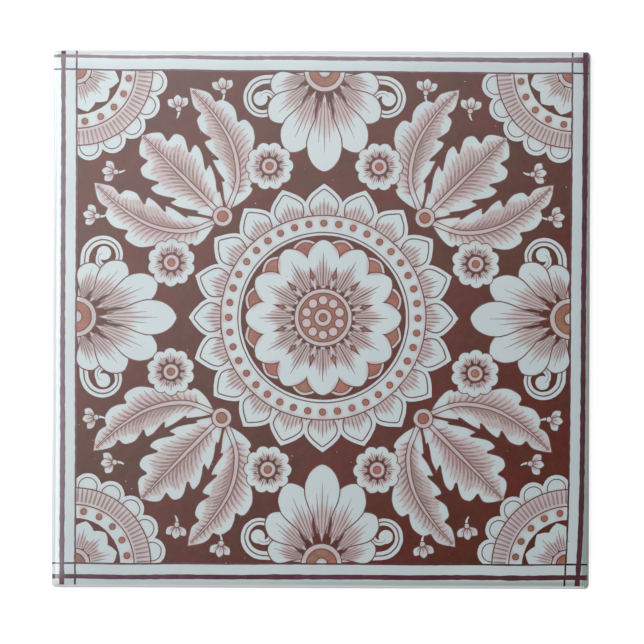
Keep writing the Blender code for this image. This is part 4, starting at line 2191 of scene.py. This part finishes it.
@dataclass
class Studio:
    """A pale floor, one soft lamp, a soft sky and the camera over the tile."""

    camera_height: float = 1.25
    frame_width: float = 0.18240  # what the picture takes in at the tile's face
    aim: Pair = (0.00025, -0.00071)
    roll: float = math.radians(0.21)
    floor_half: float = 2.5
    floor_gap: float = 0.00002  # under the tile, so that no two faces lie in one plane
    lamp_place: tuple[float, float, float] = (-0.27, 0.16, 0.36)
    lamp_aim: tuple[float, float, float] = (0.0, 0.01, 0.0)
    lamp_spread: float = math.radians(90.0)
    lamp_size: float = 0.20
    lamp_power: float = 0.41
    sky: float = 0.20  # the even light from all round, low down
    overhead: Pair = (0.7, 0.85)  # how high the even light ends and the patches begin
    glow: SkyPatch = SkyPatch((-0.09, 0.14, 0.24, 0.36), (0.16, 0.40), 3.5)  # up and to the left
    slant: float = 0.9  # how far upwards it leans
    left_strip: SkyPatch = SkyPatch((0.12, 0.18, 0.23, 0.30), (0.08, 0.2), 6.2)  # mirrored in the left edge
    top_strip: SkyPatch = SkyPatch((0.09, 0.15, 0.22, 0.30), (0.07, 0.19), 2.5)  # and in the top edge
    top_strip_shift: float = 0.12  # to the left
    front: float = 0.4  # the dimmer light low in the front
    front_span: Pair = (-0.6, -0.95)
    floor_dark: Colour = (0.78, 0.78, 0.78)
    floor_light: Colour = (0.82, 0.82, 0.82)
    floor_white: float = 0.73  # the floor's own light, which the camera alone sees
    sensor: float = 36.0
    face_height: float = 0.008

    def build(self) -> None:
        """Builds the studio."""
        self.floor()
        self.world()
        self.lamp()
        self.camera()

    def floor(self) -> None:
        """Lays the floor: white to the camera, clear from below, and it keeps the tile's shadow."""
        half = self.floor_half
        square = rectangle((-half, -half), (half, half), 3 * half)
        points = np.column_stack((square, np.full(len(square), -self.floor_gap)))
        mesh = bpy.data.meshes.new("floor")
        mesh.from_pydata(points.tolist(), [], [list(range(len(points)))])
        floor = bpy.data.objects.new("floor", mesh)
        bpy.context.scene.collection.objects.link(floor)
        material, tree = new_material("pale_floor")
        mesh.materials.append(material)
        shader = tree.nodes["Principled BSDF"]
        grain = noise(tree, place_on_tile(tree), size=0.002)
        seen = self.seen(tree, 1.0)
        inputs = {
            "Base Color": blended(tree, grain, self.floor_dark, self.floor_light),
            "Roughness": 0.9,
            "Specular IOR Level": 0.0,
            "Emission Color": (1.0, 1.0, 1.0),
            "Emission Strength": product(tree, seen, self.floor_white),
        }
        feed(tree, shader, inputs)
        behind = tree.nodes.new("ShaderNodeNewGeometry").outputs["Backfacing"]
        clear = tree.nodes.new("ShaderNodeBsdfTransparent").outputs[0]
        one_sided = add_node(tree, "ShaderNodeMixShader", {0: behind, 1: shader.outputs[0], 2: clear})
        feed(tree, tree.nodes["Material Output"], {"Surface": one_sided.outputs[0]})

    def seen(self, tree: Tree, mirrored: Socket | float) -> Socket:
        """Adds a mask of the rays that show the white background.

        Args:
            tree: the material's or the world's shader tree.
            mirrored: how much of it a mirror image shows.

        Returns:
            A mask from 0 to 1.
        """
        path = tree.nodes.new("ShaderNodeLightPath").outputs
        direct = calculate(tree, "MAXIMUM", path["Is Camera Ray"], path["Is Transmission Ray"])
        glossy = product(tree, path["Is Glossy Ray"], mirrored)
        return calculate(tree, "MAXIMUM", direct, glossy)

    def world(self) -> None:
        """Fills the sky with even light that glows towards the upper left, and is white to the camera."""
        world = bpy.data.worlds.new("soft_studio")
        bpy.context.scene.world = world
        world.use_nodes = True
        tree = world.node_tree
        towards = tree.nodes.new("ShaderNodeTexCoord").outputs["Generated"]
        right, up, high = add_node(tree, "ShaderNodeSeparateXYZ", {0: towards}).outputs
        left = product(tree, right, -1.0)
        slant = calculate(tree, "MULTIPLY_ADD", up, self.slant, left)
        beside = calculate(tree, "ADD", right, self.top_strip_shift)
        overhead = ramp(tree, high, *self.overhead)
        low = calculate(tree, "SUBTRACT", 1.0, overhead)
        lit = product(tree, low, self.sky)
        patches = ((self.glow, slant, up), (self.left_strip, left, up), (self.top_strip, up, beside))
        for patch, along, across in patches:
            share = product(tree, patch.mask(tree, along, across), overhead)
            lit = calculate(tree, "MULTIPLY_ADD", share, patch.strength, lit)
        lit = calculate(tree, "MULTIPLY_ADD", ramp(tree, up, *self.front_span), self.front, lit)
        seen = self.seen(tree, low)
        strength = calculate(tree, "MULTIPLY_ADD", seen, calculate(tree, "SUBTRACT", 1.0, lit), lit)
        feed(tree, tree.nodes["Background"], {"Color": (1.0, 1.0, 1.0), "Strength": strength})

    def lamp(self) -> None:
        """Hangs the lamp near the tile's upper left."""
        light = bpy.data.lights.new("soft_lamp", "AREA")
        light.shape = "SQUARE"
        light.size = self.lamp_size
        light.spread = self.lamp_spread
        light.energy = self.lamp_power
        lamp = bpy.data.objects.new("soft_lamp", light)
        lamp.location = self.lamp_place
        facing = Vector(self.lamp_aim) - Vector(self.lamp_place)
        lamp.rotation_euler = facing.to_track_quat("-Z", "Y").to_euler()
        lamp.visible_camera = False
        bpy.context.scene.collection.objects.link(lamp)

    def camera(self) -> None:
        """Sets the camera straight over the tile."""
        lens = bpy.data.cameras.new("camera")
        lens.sensor_width = self.sensor
        lens.lens = self.sensor * (self.camera_height - self.face_height) / self.frame_width
        lens.clip_end = 20.0
        camera = bpy.data.objects.new("camera", lens)
        camera.location = (*self.aim, self.camera_height)
        camera.rotation_euler = (0.0, 0.0, self.roll)
        bpy.context.scene.collection.objects.link(camera)
        bpy.context.scene.camera = camera


INKS = (
    PrintedInk(Ink.GROUND, (0.103, 0.025, 0.0170)),
    PrintedInk(Ink.LINE, (0.135, 0.055, 0.050), tinge=0.6),
    PrintedInk(Ink.SHADE, (0.295, 0.215, 0.210), tinge=0.5),
    PrintedInk(Ink.FAINT, (0.42, 0.34, 0.335), tinge=0.5),
    PrintedInk(Ink.BLUSH, (0.36, 0.20, 0.17), tinge=0.6),
    PrintedInk(Ink.TINT, (0.315, 0.130, 0.090), clouds=0.9, grain=0.7),
    PrintedInk(Ink.RULE, (0.090, 0.034, 0.040), broad=0.5, clouds=0.8, faded=(0.135, 0.066, 0.092)),
    PrintedInk(Ink.TICK, (0.036, 0.024, 0.030), clouds=0.8, faded=(0.085, 0.070, 0.095)),
)


def main() -> None:
    """Builds the tile and its studio."""
    effects = Effects()
    inks = {finish.ink: finish.material(effects) for finish in INKS}
    glaze = GlazedWhite().material(effects)
    biscuit = Biscuit().material(effects)
    sheet = PrintSheet({**inks, Ink.BARE: glaze})
    draw_print(sheet)
    body = TileBody()
    made = sheet.arranged(body.slab.printable(), HandLaying(), body.creases())
    log.info("print: %d outlines, %d triangles", len(sheet.layers), len(made.triangles))
    tile = body.build(glaze, biscuit)
    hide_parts(TILE_NODE)
    body.mark_ink(tile.data, made)
    log.info("tile body: %d faces", len(tile.data.polygons))
    films = InkFilms(body.slab)
    for ink, material in inks.items():
        film = films.build(ink, made, material)
        log.info("%s: %d faces", film.name, len(film.data.polygons))
    Studio().build()
    bpy.context.scene.view_settings.view_transform = "Standard"


if __name__ == "__main__":
    logging.basicConfig(level=logging.INFO)
    main()
